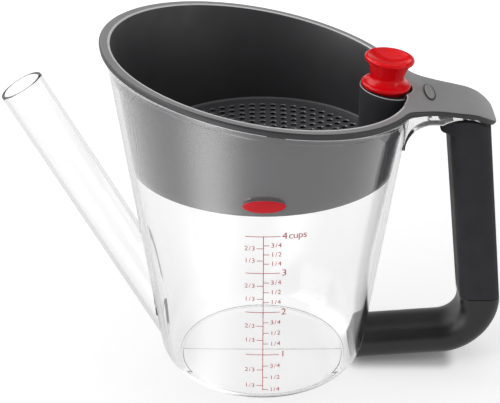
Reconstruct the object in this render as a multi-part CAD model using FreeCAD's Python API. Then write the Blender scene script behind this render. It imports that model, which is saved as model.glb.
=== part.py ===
import FreeCAD, Part
import math
import os
from FreeCAD import Placement, Rotation, Vector

# Gravy fat separator: a clear jug whose spout starts at the bottom, a lift-out strainer with
# a thumb tab, a stopper kept in a socket on the strainer, and a soft-grip handle.
# Millimetres. Origin at the centre of the base, on the table. +Z up, +X towards the handle.

# ---- jug ----
BASE_RADIUS = 49.9          # outer wall line carried down to the table
WALL_FLARE = 0.139          # radius gained by the outer wall for each mm of height
JUG_WALL = 2.5
JUG_FLOOR = 3.0
BASE_ROUND = 15.0           # outer rounding between the wall and the base
LIP_OVERHANG = 1.1          # bead round the jug's mouth
LIP_DEPTH = 3.2

# ---- rim, shared by the jug's mouth and the strainer ----
RIM_HEIGHT = 160.6          # top of the strainer's rim, on the axis
RIM_SLOPE = 10.26           # degrees, high side at the spout
RIM_THICKNESS = 3.4
RIM_OVERHANG = 2.1          # past the jug's outer wall
RIM_OUTER_ROUND = 0.8
RIM_INNER_ROUND = 2.8

# ---- strainer ----
BASKET_WALL = 2.0
BASKET_GAP = 0.3            # running room between the basket and the jug
BASKET_FLOOR_HEIGHT = 115.0  # top of the perforated plate
PLATE_THICKNESS = 1.6
PLATE_LEDGE = 1.0           # width of the step that the plate is welded up against
PLATE_GAP = 0.1
HOLE_RADIUS = 1.5
HOLE_SPACING = 5.26         # along a ring of holes
RING_PITCH = 5.0            # from one ring of holes to the next
PLATE_BORDER = 7.3          # basket wall to the middle of the outermost ring

# ---- stopper and the post that holds it ----
POST_RADIUS = 12.7
POST_X = 58.0
STOPPER_X = 57.4
POST_DROP = 2.4             # top of the post below the rim's top plane
STOPPER_LEAN = 5.5          # degrees, outwards at the top
SEAT_GAP = 0.1              # between the collar and the post where they come closest
PLUG_LENGTH = 16.0
PLUG_TOP_RADIUS = 9.4       # wedges in the spout's mouth
PLUG_SHOULDER_RADIUS = 8.2
PLUG_SHOULDER_DEPTH = 4.8
PLUG_TIP_RADIUS = 7.4
PLUG_TIP_ROUND = 1.0
RIB_COUNT = 3
RIB_HEIGHT = 0.3
RIB_WIDTH = 1.6
PLUG_GAP = 0.3
SOCKET_SPARE = 2.0          # socket depth past the plug
COLLAR_RADIUS = 11.75
COLLAR_THICKNESS = 2.6
COLLAR_GAP = 0.5
WAIST_RADIUS = 8.05
WAIST_HEIGHT = 5.7
KNOB_RADIUS = 11.75
KNOB_HEIGHT = 15.4
KNOB_EDGE = 1.3             # rounding of the knob's edge
DISH_DEPTH = 3.2
DISH_RADIUS = 10.2
NECK_TANGENTS = [Vector(-2.4, 0, 0.8), Vector(0, 0, 4.5), Vector(2.6, 0, 4.0)]  # collar, waist, knob

# ---- thumb tab ----
TAB_ROOT = (66.0, 28.0)     # x and half width where the tab leaves the rim
TAB_MIDDLE = (77.6, 21.2)
TAB_NECK = (90.0, 18.7)
TAB_HALF_WIDTH = 17.2
TAB_CORNER = 10.0
TAB_END = 110.0
TAB_DROP = 2.05             # tab's side edge below the rim's plane, at the root
TAB_BEND_START = 95.5
TAB_BEND_RADIUS = 28.0
TAB_BEND_END = 66.0         # degrees below level at the tip
TAB_THICKNESS = 2.4
TAB_CROWN = 1.2
TAB_SPAN = 60.0             # width over which the crown is measured
BOSS_X = 78.3
BOSS_LENGTH = 18.2
BOSS_WIDTH = 5.6
BOSS_RISE = 0.7

# ---- spout ----
SPOUT_MOUTH = (-114.1, 149.3)
SPOUT_TILT = 28.5           # degrees from upright
SPOUT_RADIUS = 10.8
SPOUT_WALL = 1.6
SPOUT_SEAT = 22.0           # length of the straight bore at the mouth
SPOUT_FOOT_BORE = 8.8       # bore radius at the foot
SPOUT_LENGTH = 160.0        # mouth to the bore's foot, inside the jug
SPOUT_LIP_ROUND = 0.5
PORT_TOP = 28.0             # the bore opens into the jug below this height
PORT_SILL = 11.0

# ---- handle ----
GRIP_MIDDLE_X = 98.05       # grip axis at GRIP_MIDDLE_HEIGHT
GRIP_MIDDLE_HEIGHT = 125.0
GRIP_LEAN = 6.8             # degrees, the foot further out than the top
GRIP_DEPTH = 19.7
GRIP_WIDTH = 28.0
GRIP_ROUND = 5.5
GRIP_TOP = 136.7            # highest point of the grip's arched top
GRIP_ARCH_X = 94.5
GRIP_ARCH_RADIUS = 20.6
GRIP_LIP_REACH = 4.0
GRIP_LIP_HEIGHT = 131.2
GRIP_LIP_RADIUS = 2.2
GRIP_LIP_WIDTH = 21.0
SEAM_HEIGHT = 39.0
ELBOW_RADIUS = 20.4         # on the centre line
ELBOW_STATIONS = 13
ARM_HEIGHT = 10.4            # centre line height at ARM_START_X
ARM_START_X = 56.0
ARM_RISE = 4.6              # degrees, rising away from the jug
ARM_DEPTH = 17.2
ARM_WIDTH = 29.0
ARM_ROUND = 7.0
ARM_TIP_X = 45.0            # foot of the arm, under the jug's rounded base
HANDLE_GAP = 0.1
SPINE_DEPTH = 9.0
SPINE_WIDTH = 16.0
SPINE_ROUND = 2.0
SPINE_TOP = 122.0

# ---- bracket between the jug and the handle ----
BRACKET_WIDTH = 26.0
BRACKET_UNDERSIDE = 133.9
BRACKET_FILLET = 13.0
BRACKET_END = 105.5
BRACKET_GAP = 0.5           # under the thumb tab
LUG_WIDTH = 13.0
LUG_DEPTH = 7.0
LUG_LENGTH = 12.0
SCREW_X = 97.4
SCREW_RADIUS = 1.75
SCREW_HEAD_RADIUS = 3.4
SCREW_HEAD_HEIGHT = 2.0
SCREW_LENGTH = 22.0
SCREW_SINK = 2.8            # head seat below the bracket's top
SCREW_GAP = 0.05
SCREW_CLEARANCE = 0.25
SCREW_TIP_ROOM = 2.4        # pilot hole past the screw's tip
SCREW_RECESS = 1.1          # depth of the cross recess

# ---- badge ----
BADGE_LENGTH = 19.2
BADGE_HEIGHT = 6.3
BADGE_MIDDLE_HEIGHT = 119.65
BADGE_PROUD = 0.6
BADGE_SUNK = 0.9
BADGE_GAP = 0.1

FAR = 400.0                 # longer than the whole object, for trimming solids
SLANT = math.sqrt(1.0 + WALL_FLARE ** 2)
WALL_ACROSS = JUG_WALL * SLANT
SLOPE_TAN = math.tan(math.radians(RIM_SLOPE))
UP = Vector(0, 0, 1)
LEFTWARDS = Vector(0, 1, 0)


def wall_radius(height, offset=0.0):
    """Radius of the jug's outer wall at a height, moved out by an offset."""
    return BASE_RADIUS + WALL_FLARE * height + offset


def rim_plane(x, drop=0.0):
    """Height of the sloping rim plane at x, lowered by drop."""
    return RIM_HEIGHT - SLOPE_TAN * x - drop


TAB_EDGE_HEIGHT = rim_plane(TAB_ROOT[0], TAB_DROP)


def cone_between(offset, low, high):
    """Solid cone that follows the jug's wall at an offset, between two heights."""
    foot = Vector(0, 0, low)
    return Part.makeCone(wall_radius(low, offset), wall_radius(high, offset), high - low, foot, UP)


def below_plane(x, height, slope):
    """Everything under a plane through (x, height) that falls towards +X by slope degrees."""
    block = Part.makeBox(2 * FAR, 2 * FAR, FAR, Vector(-FAR, -FAR, -FAR))
    block.Placement = Placement(Vector(x, 0, height), Rotation(LEFTWARDS, slope)).multiply(block.Placement)
    return block


def below_rim(drop=0.0):
    """Everything under the rim plane lowered by drop."""
    return below_plane(0, rim_plane(0, drop), RIM_SLOPE)


def closed_wire(edges):
    """One wire from curves or edges given in any order."""
    shapes = [edge if isinstance(edge, Part.Edge) else edge.toShape() for edge in edges]
    return Part.Wire(Part.__sortEdges__(shapes))


def polyline(points):
    """Straight edges through the points."""
    return [Part.LineSegment(a, b) for a, b in zip(points, points[1:])]


def drawn(start, steps):
    """Curves from start: a step of one point is straight, a step of two is an arc through the first."""
    edges = []
    here = start
    for step in steps:
        edges.append(Part.LineSegment(here, *step) if len(step) == 1 else Part.Arc(here, *step))
        here = step[-1]
    return edges


def turned(edges):
    """Solid made by turning a profile in the XZ plane about the Z axis."""
    return Part.Face(closed_wire(edges)).revolve(Vector(0, 0, 0), UP, 360)


def one_solid(shape):
    """The single solid of a boolean's result, with its leftover seams removed."""
    clean = shape.removeSplitter()
    solids = clean.Solids
    if len(solids) != 1:
        raise RuntimeError("expected one solid, found %d" % len(solids))
    return solids[0]


def jug_form(offset, floor, corner_round, top=FAR / 2):
    """Filled jug shape: a cone whose foot is rounded into a flat floor."""
    centre_height = floor + corner_round
    centre_radius = wall_radius(centre_height, offset) - corner_round * SLANT
    outward = Vector(1.0 / SLANT, 0, -WALL_FLARE / SLANT)
    downward = Vector(0, 0, -1)
    halfway = (outward + downward).normalize()
    centre = Vector(centre_radius, 0, centre_height)
    on_floor = centre + downward * corner_round
    on_corner = centre + halfway * corner_round
    on_wall = centre + outward * corner_round
    at_top = Vector(wall_radius(top, offset), 0, top)
    straight = polyline([on_wall, at_top, Vector(0, 0, top), Vector(0, 0, floor), on_floor])
    return turned(straight + [Part.Arc(on_floor, on_corner, on_wall)])


def jug_outside(offset=0.0):
    """Filled outer form of the jug."""
    return jug_form(offset, 0.0, BASE_ROUND)


def jug_inside():
    """Filled inner form of the jug."""
    return jug_form(-WALL_ACROSS, JUG_FLOOR, BASE_ROUND - JUG_WALL)


# ---- frames of the leaning parts ----
STOPPER_AXIS = Vector(math.sin(math.radians(STOPPER_LEAN)), 0, math.cos(math.radians(STOPPER_LEAN)))
COLLAR_FLAT = COLLAR_RADIUS - COLLAR_THICKNESS / 2
SEAT_HEIGHT = rim_plane(STOPPER_X - COLLAR_FLAT, POST_DROP) + SEAT_GAP - COLLAR_FLAT * STOPPER_AXIS.x
SEAT = Vector(STOPPER_X, 0, SEAT_HEIGHT)
SPOUT_DOWN = Vector(math.sin(math.radians(SPOUT_TILT)), 0, -math.cos(math.radians(SPOUT_TILT)))
MOUTH = Vector(SPOUT_MOUTH[0], 0, SPOUT_MOUTH[1])


def leaning(shape):
    """Moves a shape made about the Z axis onto the stopper's seat and axis."""
    moved = shape.copy()
    moved.Placement = Placement(SEAT, Rotation(LEFTWARDS, STOPPER_LEAN))
    return moved


# ---- thumb tab ----
def tab_path(drop=0.0, end_angle=TAB_BEND_END):
    """Side view of the tab's top edge: a straight run, then a bend down over the grip."""
    slope = math.radians(RIM_SLOPE)
    finish = math.radians(end_angle)
    middle = (slope + finish) / 2
    root_x = TAB_ROOT[0] - TAB_CORNER
    root = Vector(root_x, 0, TAB_EDGE_HEIGHT + SLOPE_TAN * (TAB_ROOT[0] - root_x) - drop)
    bend = Vector(TAB_BEND_START, 0, root.z - SLOPE_TAN * (TAB_BEND_START - root_x))
    centre = bend - Vector(math.sin(slope), 0, math.cos(slope)) * TAB_BEND_RADIUS
    on_bend = [centre + Vector(math.sin(a), 0, math.cos(a)) * TAB_BEND_RADIUS for a in (middle, finish)]
    return [Part.LineSegment(root, bend), Part.Arc(bend, on_bend[0], on_bend[1])]


def crowned_sheet(thickness, drop=0.0):
    """Plate of even thickness along the tab's path, crowned across its width."""
    path = Part.Wire([edge.toShape() for edge in tab_path(drop)])
    start = path.Edges[0].Vertexes[0].Point
    half = TAB_SPAN / 2
    normal = Vector(math.sin(math.radians(RIM_SLOPE)), 0, math.cos(math.radians(RIM_SLOPE)))
    top = [start + LEFTWARDS * -half, start + normal * TAB_CROWN, start + LEFTWARDS * half]
    low = [point - normal * thickness for point in top]
    section = closed_wire([Part.Arc(*top), Part.LineSegment(top[2], low[2]), Part.Arc(*low),
                           Part.LineSegment(low[0], top[0])])
    return path.makePipeShell([section], True, True)


def tab_outline():
    """Plan view of the tab, from inside the rim to its rounded end."""
    def both(point):
        return Vector(point[0], point[1], 0), Vector(point[0], -point[1], 0)

    corner_x = TAB_END - TAB_CORNER
    corner_y = TAB_HALF_WIDTH - TAB_CORNER
    bulge = TAB_CORNER * math.sqrt(0.5)
    root, root_m = both(TAB_ROOT)
    middle, middle_m = both(TAB_MIDDLE)
    neck, neck_m = both(TAB_NECK)
    side, side_m = both((corner_x, TAB_HALF_WIDTH))
    turn, turn_m = both((corner_x + bulge, corner_y + bulge))
    end, end_m = both((TAB_END, corner_y))
    edges = [Part.Arc(root, middle, neck), Part.LineSegment(neck, side), Part.Arc(side, turn, end),
             Part.LineSegment(end, end_m), Part.Arc(end_m, turn_m, side_m), Part.LineSegment(side_m, neck_m),
             Part.Arc(neck_m, middle_m, root_m), Part.LineSegment(root_m, root)]
    return Part.Face(closed_wire(edges))


def tab_prism():
    """The tab's outline stood up as a tall block."""
    return tab_outline().extrude(UP * FAR / 2)


def thumb_tab():
    """Crowned tongue that reaches over the handle, with a plain oval boss."""
    plate = crowned_sheet(TAB_THICKNESS).common(tab_prism())
    ellipse = Part.Ellipse(Vector(0, 0, 0), BOSS_LENGTH / 2, BOSS_WIDTH / 2)
    boss = Part.Face(Part.Wire([ellipse.toShape()])).extrude(UP * (TAB_THICKNESS / 2 + BOSS_RISE))
    boss_height = TAB_EDGE_HEIGHT + TAB_CROWN - SLOPE_TAN * (BOSS_X - TAB_ROOT[0]) - TAB_THICKNESS / 2
    turned_across = Rotation(LEFTWARDS, RIM_SLOPE).multiply(Rotation(UP, 90))
    boss.Placement = Placement(Vector(BOSS_X, 0, boss_height), turned_across)
    return plate.fuse(boss)


# ---- strainer ----
BASKET_OUTER = -(WALL_ACROSS + BASKET_GAP)
BASKET_INNER = BASKET_OUTER - BASKET_WALL
BASKET_BOTTOM = BASKET_FLOOR_HEIGHT - PLATE_THICKNESS
PLATE_RADIUS = wall_radius(BASKET_FLOOR_HEIGHT, BASKET_INNER) + PLATE_LEDGE


def on_rim_top(edge):
    """True for an edge that lies in the rim's top plane."""
    return all(abs(v.Point.z - rim_plane(v.Point.x)) < 0.01 for v in edge.Vertexes)


def basket_shell():
    """Rim flange and conical wall, open at the bottom, with rounded rim edges."""
    top = FAR / 2
    flange = cone_between(RIM_OVERHANG, BASKET_BOTTOM, top)
    flange = flange.cut(below_rim(RIM_THICKNESS))
    wall = cone_between(BASKET_OUTER, BASKET_BOTTOM, top)
    hollow = cone_between(BASKET_INNER, BASKET_BOTTOM - PLATE_THICKNESS, top + PLATE_THICKNESS)
    shell = one_solid(flange.fuse(wall).common(below_rim()).cut(hollow))
    inner = min((e for e in shell.Edges if on_rim_top(e)), key=lambda e: e.Length)
    shell = shell.makeFillet(RIM_INNER_ROUND, [inner])
    outer = max((e for e in shell.Edges if on_rim_top(e)), key=lambda e: e.Length)
    return shell.makeFillet(RIM_OUTER_ROUND, [outer])


def plug_radius(depth):
    """Radius of the plug between its ribs: a short wedge under the collar, then a slow taper."""
    if depth <= PLUG_SHOULDER_DEPTH:
        share = depth / PLUG_SHOULDER_DEPTH
        return PLUG_TOP_RADIUS + (PLUG_SHOULDER_RADIUS - PLUG_TOP_RADIUS) * share
    share = (depth - PLUG_SHOULDER_DEPTH) / (PLUG_LENGTH - PLUG_SHOULDER_DEPTH)
    return PLUG_SHOULDER_RADIUS + (PLUG_TIP_RADIUS - PLUG_SHOULDER_RADIUS) * share


def stopper_socket():
    """Space cut in the post for the plug, its ribs and their running gap."""
    room = RIB_HEIGHT + PLUG_GAP
    depth = PLUG_LENGTH + SOCKET_SPARE
    mouth = PLUG_TOP_RADIUS + room
    axis = [Vector(0, 0, PLUG_LENGTH), Vector(0, 0, -depth)]
    outline = [axis[1], Vector(plug_radius(PLUG_LENGTH) + room, 0, -depth),
               Vector(PLUG_SHOULDER_RADIUS + room, 0, -PLUG_SHOULDER_DEPTH), Vector(mouth, 0, 0),
               Vector(mouth, 0, PLUG_LENGTH), axis[0], axis[1]]
    return leaning(turned(polyline(outline)))


def strainer_basket():
    """Rim, wall, thumb tab and stopper post, moulded in one."""
    shell = basket_shell()
    hollow = cone_between(BASKET_INNER, BASKET_BOTTOM - PLATE_THICKNESS, FAR / 2)
    under_rim = below_rim(RIM_THICKNESS).common(cone_between(RIM_OVERHANG, BASKET_BOTTOM, FAR / 2))
    tab = thumb_tab().cut([hollow, under_rim])
    post = Part.makeCylinder(POST_RADIUS, FAR, Vector(POST_X, 0, BASKET_FLOOR_HEIGHT), UP)
    post = post.common(below_rim(POST_DROP))
    post = post.common(cone_between(BASKET_OUTER - BASKET_WALL / 2, BASKET_BOTTOM, FAR / 2))
    pocket = leaning(Part.makeCylinder(COLLAR_RADIUS + COLLAR_GAP, FAR, Vector(0, 0, -FAR / 2)))
    pocket = pocket.cut(below_rim(POST_DROP))
    below = Vector(0, 0, BASKET_BOTTOM - PLATE_THICKNESS)
    rebate = Part.makeCylinder(PLATE_RADIUS, 2 * PLATE_THICKNESS, below)
    return one_solid(shell.fuse([tab, post]).cut([pocket, stopper_socket(), rebate]))


def strainer_floor():
    """Round plate with rings of holes, clear of the basket's wall and the post."""
    radius = PLATE_RADIUS - PLATE_GAP
    post_reach = POST_RADIUS + HOLE_RADIUS + PLATE_GAP
    outlines = [Part.Wire([Part.makeCircle(radius)])]
    ring_radius = wall_radius(BASKET_FLOOR_HEIGHT, BASKET_INNER) - PLATE_BORDER
    while ring_radius > HOLE_SPACING / 2:
        count = round(2 * math.pi * ring_radius / HOLE_SPACING)
        for step in range(count):
            turn = 2 * math.pi * step / count
            spot = Vector(ring_radius * math.sin(turn), ring_radius * math.cos(turn), 0)
            if (spot - Vector(POST_X, 0, 0)).Length > post_reach:
                outlines.append(Part.Wire([Part.makeCircle(HOLE_RADIUS, spot)]))
        ring_radius -= RING_PITCH
    face = Part.makeFace(outlines, "Part::FaceMakerBullseye")
    face.translate(Vector(0, 0, BASKET_BOTTOM))
    return one_solid(face.extrude(UP * PLATE_THICKNESS))


def stopper():
    """Dished knob, waist, collar and ribbed plug, turned in one piece."""
    def at(radius, height):
        return Vector(radius, 0, height)

    def on_plug(depth, proud=0.0):
        return at(plug_radius(depth) + proud, -depth)

    tip = at(PLUG_TIP_RADIUS - PLUG_TIP_ROUND, -PLUG_LENGTH)
    steps = [[tip], [on_plug(PLUG_LENGTH - PLUG_TIP_ROUND)]]
    spacing = (PLUG_LENGTH - PLUG_SHOULDER_DEPTH) / (RIB_COUNT + 1)
    for rib in range(RIB_COUNT):
        depth = PLUG_LENGTH - spacing * (rib + 1)
        steps.append([on_plug(depth + RIB_WIDTH / 2)])
        steps.append([on_plug(depth, RIB_HEIGHT), on_plug(depth - RIB_WIDTH / 2)])
    collar_edge = at(COLLAR_RADIUS, COLLAR_THICKNESS / 2)
    collar_top = at(COLLAR_FLAT, COLLAR_THICKNESS)
    steps += [[on_plug(PLUG_SHOULDER_DEPTH)], [on_plug(0)], [at(COLLAR_FLAT, 0)], [collar_edge, collar_top]]
    lower = drawn(at(0, -PLUG_LENGTH), steps)

    edge_low = at(KNOB_RADIUS - KNOB_EDGE, KNOB_HEIGHT - 2 * KNOB_EDGE)
    edge_middle = at(KNOB_RADIUS, KNOB_HEIGHT - KNOB_EDGE)
    edge_top = at(KNOB_RADIUS - KNOB_EDGE, KNOB_HEIGHT)
    neck = Part.BSplineCurve()
    waist = at(WAIST_RADIUS, WAIST_HEIGHT)
    neck.interpolate([collar_top, waist, edge_low], Tangents=NECK_TANGENTS, TangentFlags=[True] * 3)
    dish_bottom = at(0, KNOB_HEIGHT - DISH_DEPTH)
    dish_curve = (DISH_RADIUS ** 2 + DISH_DEPTH ** 2) / (2 * DISH_DEPTH)
    angle = math.asin(DISH_RADIUS / dish_curve) / 2
    dish_middle = dish_bottom + at(dish_curve * math.sin(angle), dish_curve * (1 - math.cos(angle)))
    dish_edge = at(DISH_RADIUS, KNOB_HEIGHT)
    upper = drawn(edge_low, [[edge_middle, edge_top], [dish_edge], [dish_middle, dish_bottom],
                             [at(0, -PLUG_LENGTH)]])
    return leaning(turned(lower + [neck] + upper))


# ---- handle ----
GRIP_DOWN = Vector(math.sin(math.radians(GRIP_LEAN)), 0, -math.cos(math.radians(GRIP_LEAN)))
GRIP_OUT = Vector(math.cos(math.radians(GRIP_LEAN)), 0, math.sin(math.radians(GRIP_LEAN)))
ARM_IN = Vector(-math.cos(math.radians(ARM_RISE)), 0, -math.sin(math.radians(ARM_RISE)))
ARM_DOWN = Vector(math.sin(math.radians(ARM_RISE)), 0, -math.cos(math.radians(ARM_RISE)))


def grip_axis(height):
    """Point of the grip's axis at a height."""
    return Vector(GRIP_MIDDLE_X, 0, GRIP_MIDDLE_HEIGHT) + GRIP_DOWN * (
        (GRIP_MIDDLE_HEIGHT - height) / math.cos(math.radians(GRIP_LEAN)))


def arm_axis(x):
    """Point of the lower arm's axis at x."""
    return Vector(x, 0, ARM_HEIGHT + (x - ARM_START_X) * math.tan(math.radians(ARM_RISE)))


def elbow_centre():
    """Centre of the elbow's bend, one radius inside both axes."""
    arm_point = arm_axis(ARM_START_X) - ARM_DOWN * ELBOW_RADIUS
    grip_point = grip_axis(0) - GRIP_OUT * ELBOW_RADIUS
    across = Vector(grip_point.x - arm_point.x, 0, grip_point.z - arm_point.z)
    cross = ARM_IN.x * GRIP_DOWN.z - ARM_IN.z * GRIP_DOWN.x
    along = (across.x * GRIP_DOWN.z - across.z * GRIP_DOWN.x) / cross
    return arm_point + ARM_IN * along


def rounded_section(centre, outward, depth, width, corner):
    """Rounded rectangle across a path: depth along outward, width along Y."""
    half_depth, half_width = depth / 2, width / 2
    flat_depth, flat_width = half_depth - corner, half_width - corner
    bulge = corner * (1 - math.sqrt(0.5))

    def at(across, along):
        return centre + outward * across + LEFTWARDS * along

    edges = []
    for out, left in ((1, 1), (1, -1), (-1, -1), (-1, 1)):
        on_face = at(out * half_depth, left * flat_width)
        on_corner = at(out * (half_depth - bulge), left * (half_width - bulge))
        on_side = at(out * flat_depth, left * half_width)
        if out == left:
            edges.append(Part.Arc(on_side, on_corner, on_face))
        else:
            edges.append(Part.Arc(on_face, on_corner, on_side))
    joined = []
    for first, second in zip(edges, edges[1:] + edges[:1]):
        joined += [first, Part.LineSegment(first.EndPoint, second.StartPoint)]
    return Part.Wire([edge.toShape() for edge in joined])


def blend(start, finish, share):
    """Value between start and finish, changing mostly near the finish."""
    return start + (finish - start) * share ** 3


def grip_prism(depth, width, corner, low, high):
    """Straight bar along the grip's axis between two heights."""
    start = grip_axis(low)
    section = rounded_section(start, GRIP_OUT, depth, width, corner)
    return Part.Face(section).extrude(grip_axis(high) - start)


def grip_arch(clearance=0.0):
    """Round-topped block that gives the grip its arched top."""
    radius = GRIP_ARCH_RADIUS + clearance
    centre_height = GRIP_TOP - GRIP_ARCH_RADIUS
    drum = Part.makeCylinder(radius, FAR, Vector(GRIP_ARCH_X, -FAR / 2, centre_height), LEFTWARDS)
    below = Part.makeBox(2 * radius, FAR, FAR, Vector(GRIP_ARCH_X - radius, -FAR / 2, centre_height - FAR))
    return drum.fuse(below)


def elbow_and_arm():
    """Straight lower arm, a smooth elbow and a short stub up to the seam."""
    centre = elbow_centre()
    start_angle = math.atan2(ARM_DOWN.z, ARM_DOWN.x)
    turn = math.atan2(GRIP_OUT.z, GRIP_OUT.x) - start_angle
    sections = []
    for step in range(ELBOW_STATIONS):
        share = step / (ELBOW_STATIONS - 1)
        outward = Vector(math.cos(start_angle + turn * share), 0, math.sin(start_angle + turn * share))
        sections.append(rounded_section(centre + outward * ELBOW_RADIUS, outward,
                                        blend(ARM_DEPTH, GRIP_DEPTH, share),
                                        blend(ARM_WIDTH, GRIP_WIDTH, share),
                                        blend(ARM_ROUND, GRIP_ROUND, share)))
    elbow = Part.makeLoft(sections, True, False)
    arm = Part.Face(sections[0]).extrude(ARM_IN * (centre.x - ARM_TIP_X))
    stub = Part.Face(sections[-1]).extrude(GRIP_DOWN * -GRIP_DEPTH)
    return elbow.fuse([arm, stub]).common(below_height(SEAM_HEIGHT))


def below_height(height):
    """Everything under a level plane."""
    return below_plane(0, height, 0)


def lug_block(gap=0.0):
    """Lug on the jug's wall that the lower arm is pushed onto."""
    start = arm_axis(wall_radius(ARM_HEIGHT) - BASE_ROUND / 2)
    size = Vector(LUG_LENGTH + BASE_ROUND / 2 + gap, LUG_WIDTH + 2 * gap, LUG_DEPTH + 2 * gap)
    block = Part.makeBox(size.x, size.y, size.z, Vector(0, -size.y / 2, -size.z / 2))
    block.Placement = Placement(start, Rotation(LEFTWARDS, -ARM_RISE)).multiply(block.Placement)
    return block


def screw_top():
    """Seat of the screw's head, inside the bracket."""
    return bracket_top_height(SCREW_X) - SCREW_SINK


def bracket_top_height(x):
    """Height of the bracket's top at its middle, under the crown of the tab."""
    crown_height = TAB_EDGE_HEIGHT + TAB_CROWN - SLOPE_TAN * (x - TAB_ROOT[0])
    return crown_height - TAB_THICKNESS - BRACKET_GAP


def handle_frame():
    """Rigid part of the handle: lower arm, elbow and the spine inside the grip."""
    foot = SEAM_HEIGHT - GRIP_DEPTH / 2
    spine = grip_prism(SPINE_DEPTH, SPINE_WIDTH, SPINE_ROUND, foot, SPINE_TOP + SPINE_DEPTH)
    spine = spine.common(below_height(SPINE_TOP))
    pilot_length = SCREW_LENGTH + SCREW_TIP_ROOM
    pilot_foot = Vector(SCREW_X, 0, screw_top() - pilot_length)
    pilot = Part.makeCylinder(SCREW_RADIUS + SCREW_GAP, pilot_length, pilot_foot, UP)
    solid = elbow_and_arm().fuse(spine)
    return one_solid(solid.cut([jug_outside(HANDLE_GAP), lug_block(HANDLE_GAP), pilot]))


def grip_sleeve():
    """Soft sleeve over the spine, arched on top, with a small lip towards the jug."""
    low = SEAM_HEIGHT - GRIP_DEPTH
    high = GRIP_TOP + GRIP_DEPTH
    sleeve = grip_prism(GRIP_DEPTH, GRIP_WIDTH, GRIP_ROUND, low, high)
    sleeve = sleeve.cut(below_height(SEAM_HEIGHT))
    tip_x = grip_axis(GRIP_LIP_HEIGHT).x - GRIP_DEPTH / 2 - GRIP_LIP_REACH
    nose = Vector(tip_x + GRIP_LIP_RADIUS, -GRIP_LIP_WIDTH / 2, GRIP_LIP_HEIGHT)
    lip = Part.makeCylinder(GRIP_LIP_RADIUS, GRIP_LIP_WIDTH, nose, LEFTWARDS)
    web_reach = GRIP_LIP_REACH + GRIP_DEPTH / 4
    under = Part.makeBox(web_reach, GRIP_LIP_WIDTH, GRIP_LIP_RADIUS, nose - UP * GRIP_LIP_RADIUS)
    over = Part.makeBox(web_reach, GRIP_LIP_WIDTH, GRIP_TOP, Vector(tip_x, nose.y, nose.z))
    core_depth = SPINE_DEPTH + 2 * HANDLE_GAP
    core_width = SPINE_WIDTH + 2 * HANDLE_GAP
    core = grip_prism(core_depth, core_width, SPINE_ROUND, low, high)
    return one_solid(sleeve.fuse([lip, under, over]).common(grip_arch()).cut(core))


# ---- jug with its bracket ----
def bracket_arm():
    """Clear arm under the thumb tab, from the jug's wall over the top of the grip."""
    start_x = wall_radius(BRACKET_UNDERSIDE) - JUG_WALL
    low = BRACKET_UNDERSIDE - BRACKET_FILLET
    corner = Vector(start_x, -BRACKET_WIDTH / 2, low)
    block = Part.makeBox(BRACKET_END - start_x, BRACKET_WIDTH, FAR / 8, corner)
    roof = crowned_sheet(FAR / 8, TAB_THICKNESS + BRACKET_GAP)
    arm = block.common(roof)
    round_x = wall_radius(low) + BRACKET_FILLET
    under = Part.makeCylinder(BRACKET_FILLET, FAR, Vector(round_x, -FAR / 2, low), LEFTWARDS)
    under = under.fuse(Part.makeBox(FAR, FAR, FAR, Vector(round_x, -FAR / 2, BRACKET_UNDERSIDE - FAR)))
    return arm.common(below_rim(RIM_THICKNESS)).cut([under, grip_arch(HANDLE_GAP)])


def bracket_foot():
    """Foot of the bracket inside the grip, down to the top of the spine."""
    boss = grip_prism(SPINE_DEPTH, SPINE_WIDTH, SPINE_ROUND, SPINE_TOP - SPINE_DEPTH, GRIP_TOP + SPINE_DEPTH)
    boss = boss.cut(below_height(SPINE_TOP + HANDLE_GAP)).common(below_rim(RIM_THICKNESS))
    return boss.common(crowned_sheet(FAR / 8, TAB_THICKNESS + BRACKET_GAP))


def badge_outline(grow=0.0):
    """Elliptical block through the front of the jug."""
    ellipse = Part.Ellipse(Vector(0, 0, 0), BADGE_LENGTH / 2 + grow, BADGE_HEIGHT / 2 + grow)
    block = Part.Face(Part.Wire([ellipse.toShape()])).extrude(UP * 2 * BADGE_HEIGHT)
    front = Vector(0, -wall_radius(BADGE_MIDDLE_HEIGHT) - BADGE_HEIGHT, BADGE_MIDDLE_HEIGHT)
    block.Placement = Placement(front, Rotation(Vector(1, 0, 0), -90))
    return block


def front_badge():
    """Blank red pad set into the front of the jug."""
    ring = cone_between(BADGE_PROUD, 0, FAR / 2).cut(cone_between(-BADGE_SUNK, 0, FAR / 2))
    return one_solid(badge_outline().common(ring))


def spout_bore():
    """Bore of the spout: straight at the mouth, where the stopper fits, then a slow taper to the foot."""
    radius = SPOUT_RADIUS - SPOUT_WALL
    above = MOUTH - SPOUT_DOWN * SPOUT_RADIUS
    seat = Part.makeCylinder(radius, SPOUT_RADIUS + SPOUT_SEAT, above, SPOUT_DOWN)
    taper_length = SPOUT_LENGTH - SPOUT_SEAT
    taper = Part.makeCone(radius, SPOUT_FOOT_BORE, taper_length, MOUTH + SPOUT_DOWN * SPOUT_SEAT, SPOUT_DOWN)
    return seat.fuse(taper)


def jug_bead():
    """Thicker ring round the jug's mouth, under the rim, filled across."""
    bead = cone_between(LIP_OVERHANG, 0, FAR / 2).common(below_rim(RIM_THICKNESS))
    return bead.cut(below_rim(RIM_THICKNESS + LIP_DEPTH))


def jug_body():
    """Clear jug with its mouth bead, arm lug, spout port and badge recess."""
    form = jug_outside().common(below_rim(RIM_THICKNESS))
    body = form.fuse([jug_bead(), lug_block()])
    port = spout_bore().common(below_height(PORT_TOP)).cut(below_height(PORT_SILL))
    recess = badge_outline(BADGE_GAP).cut(cone_between(-BADGE_SUNK - BADGE_GAP, 0, FAR / 2))
    return one_solid(body.cut([jug_inside(), port, recess]))


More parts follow.
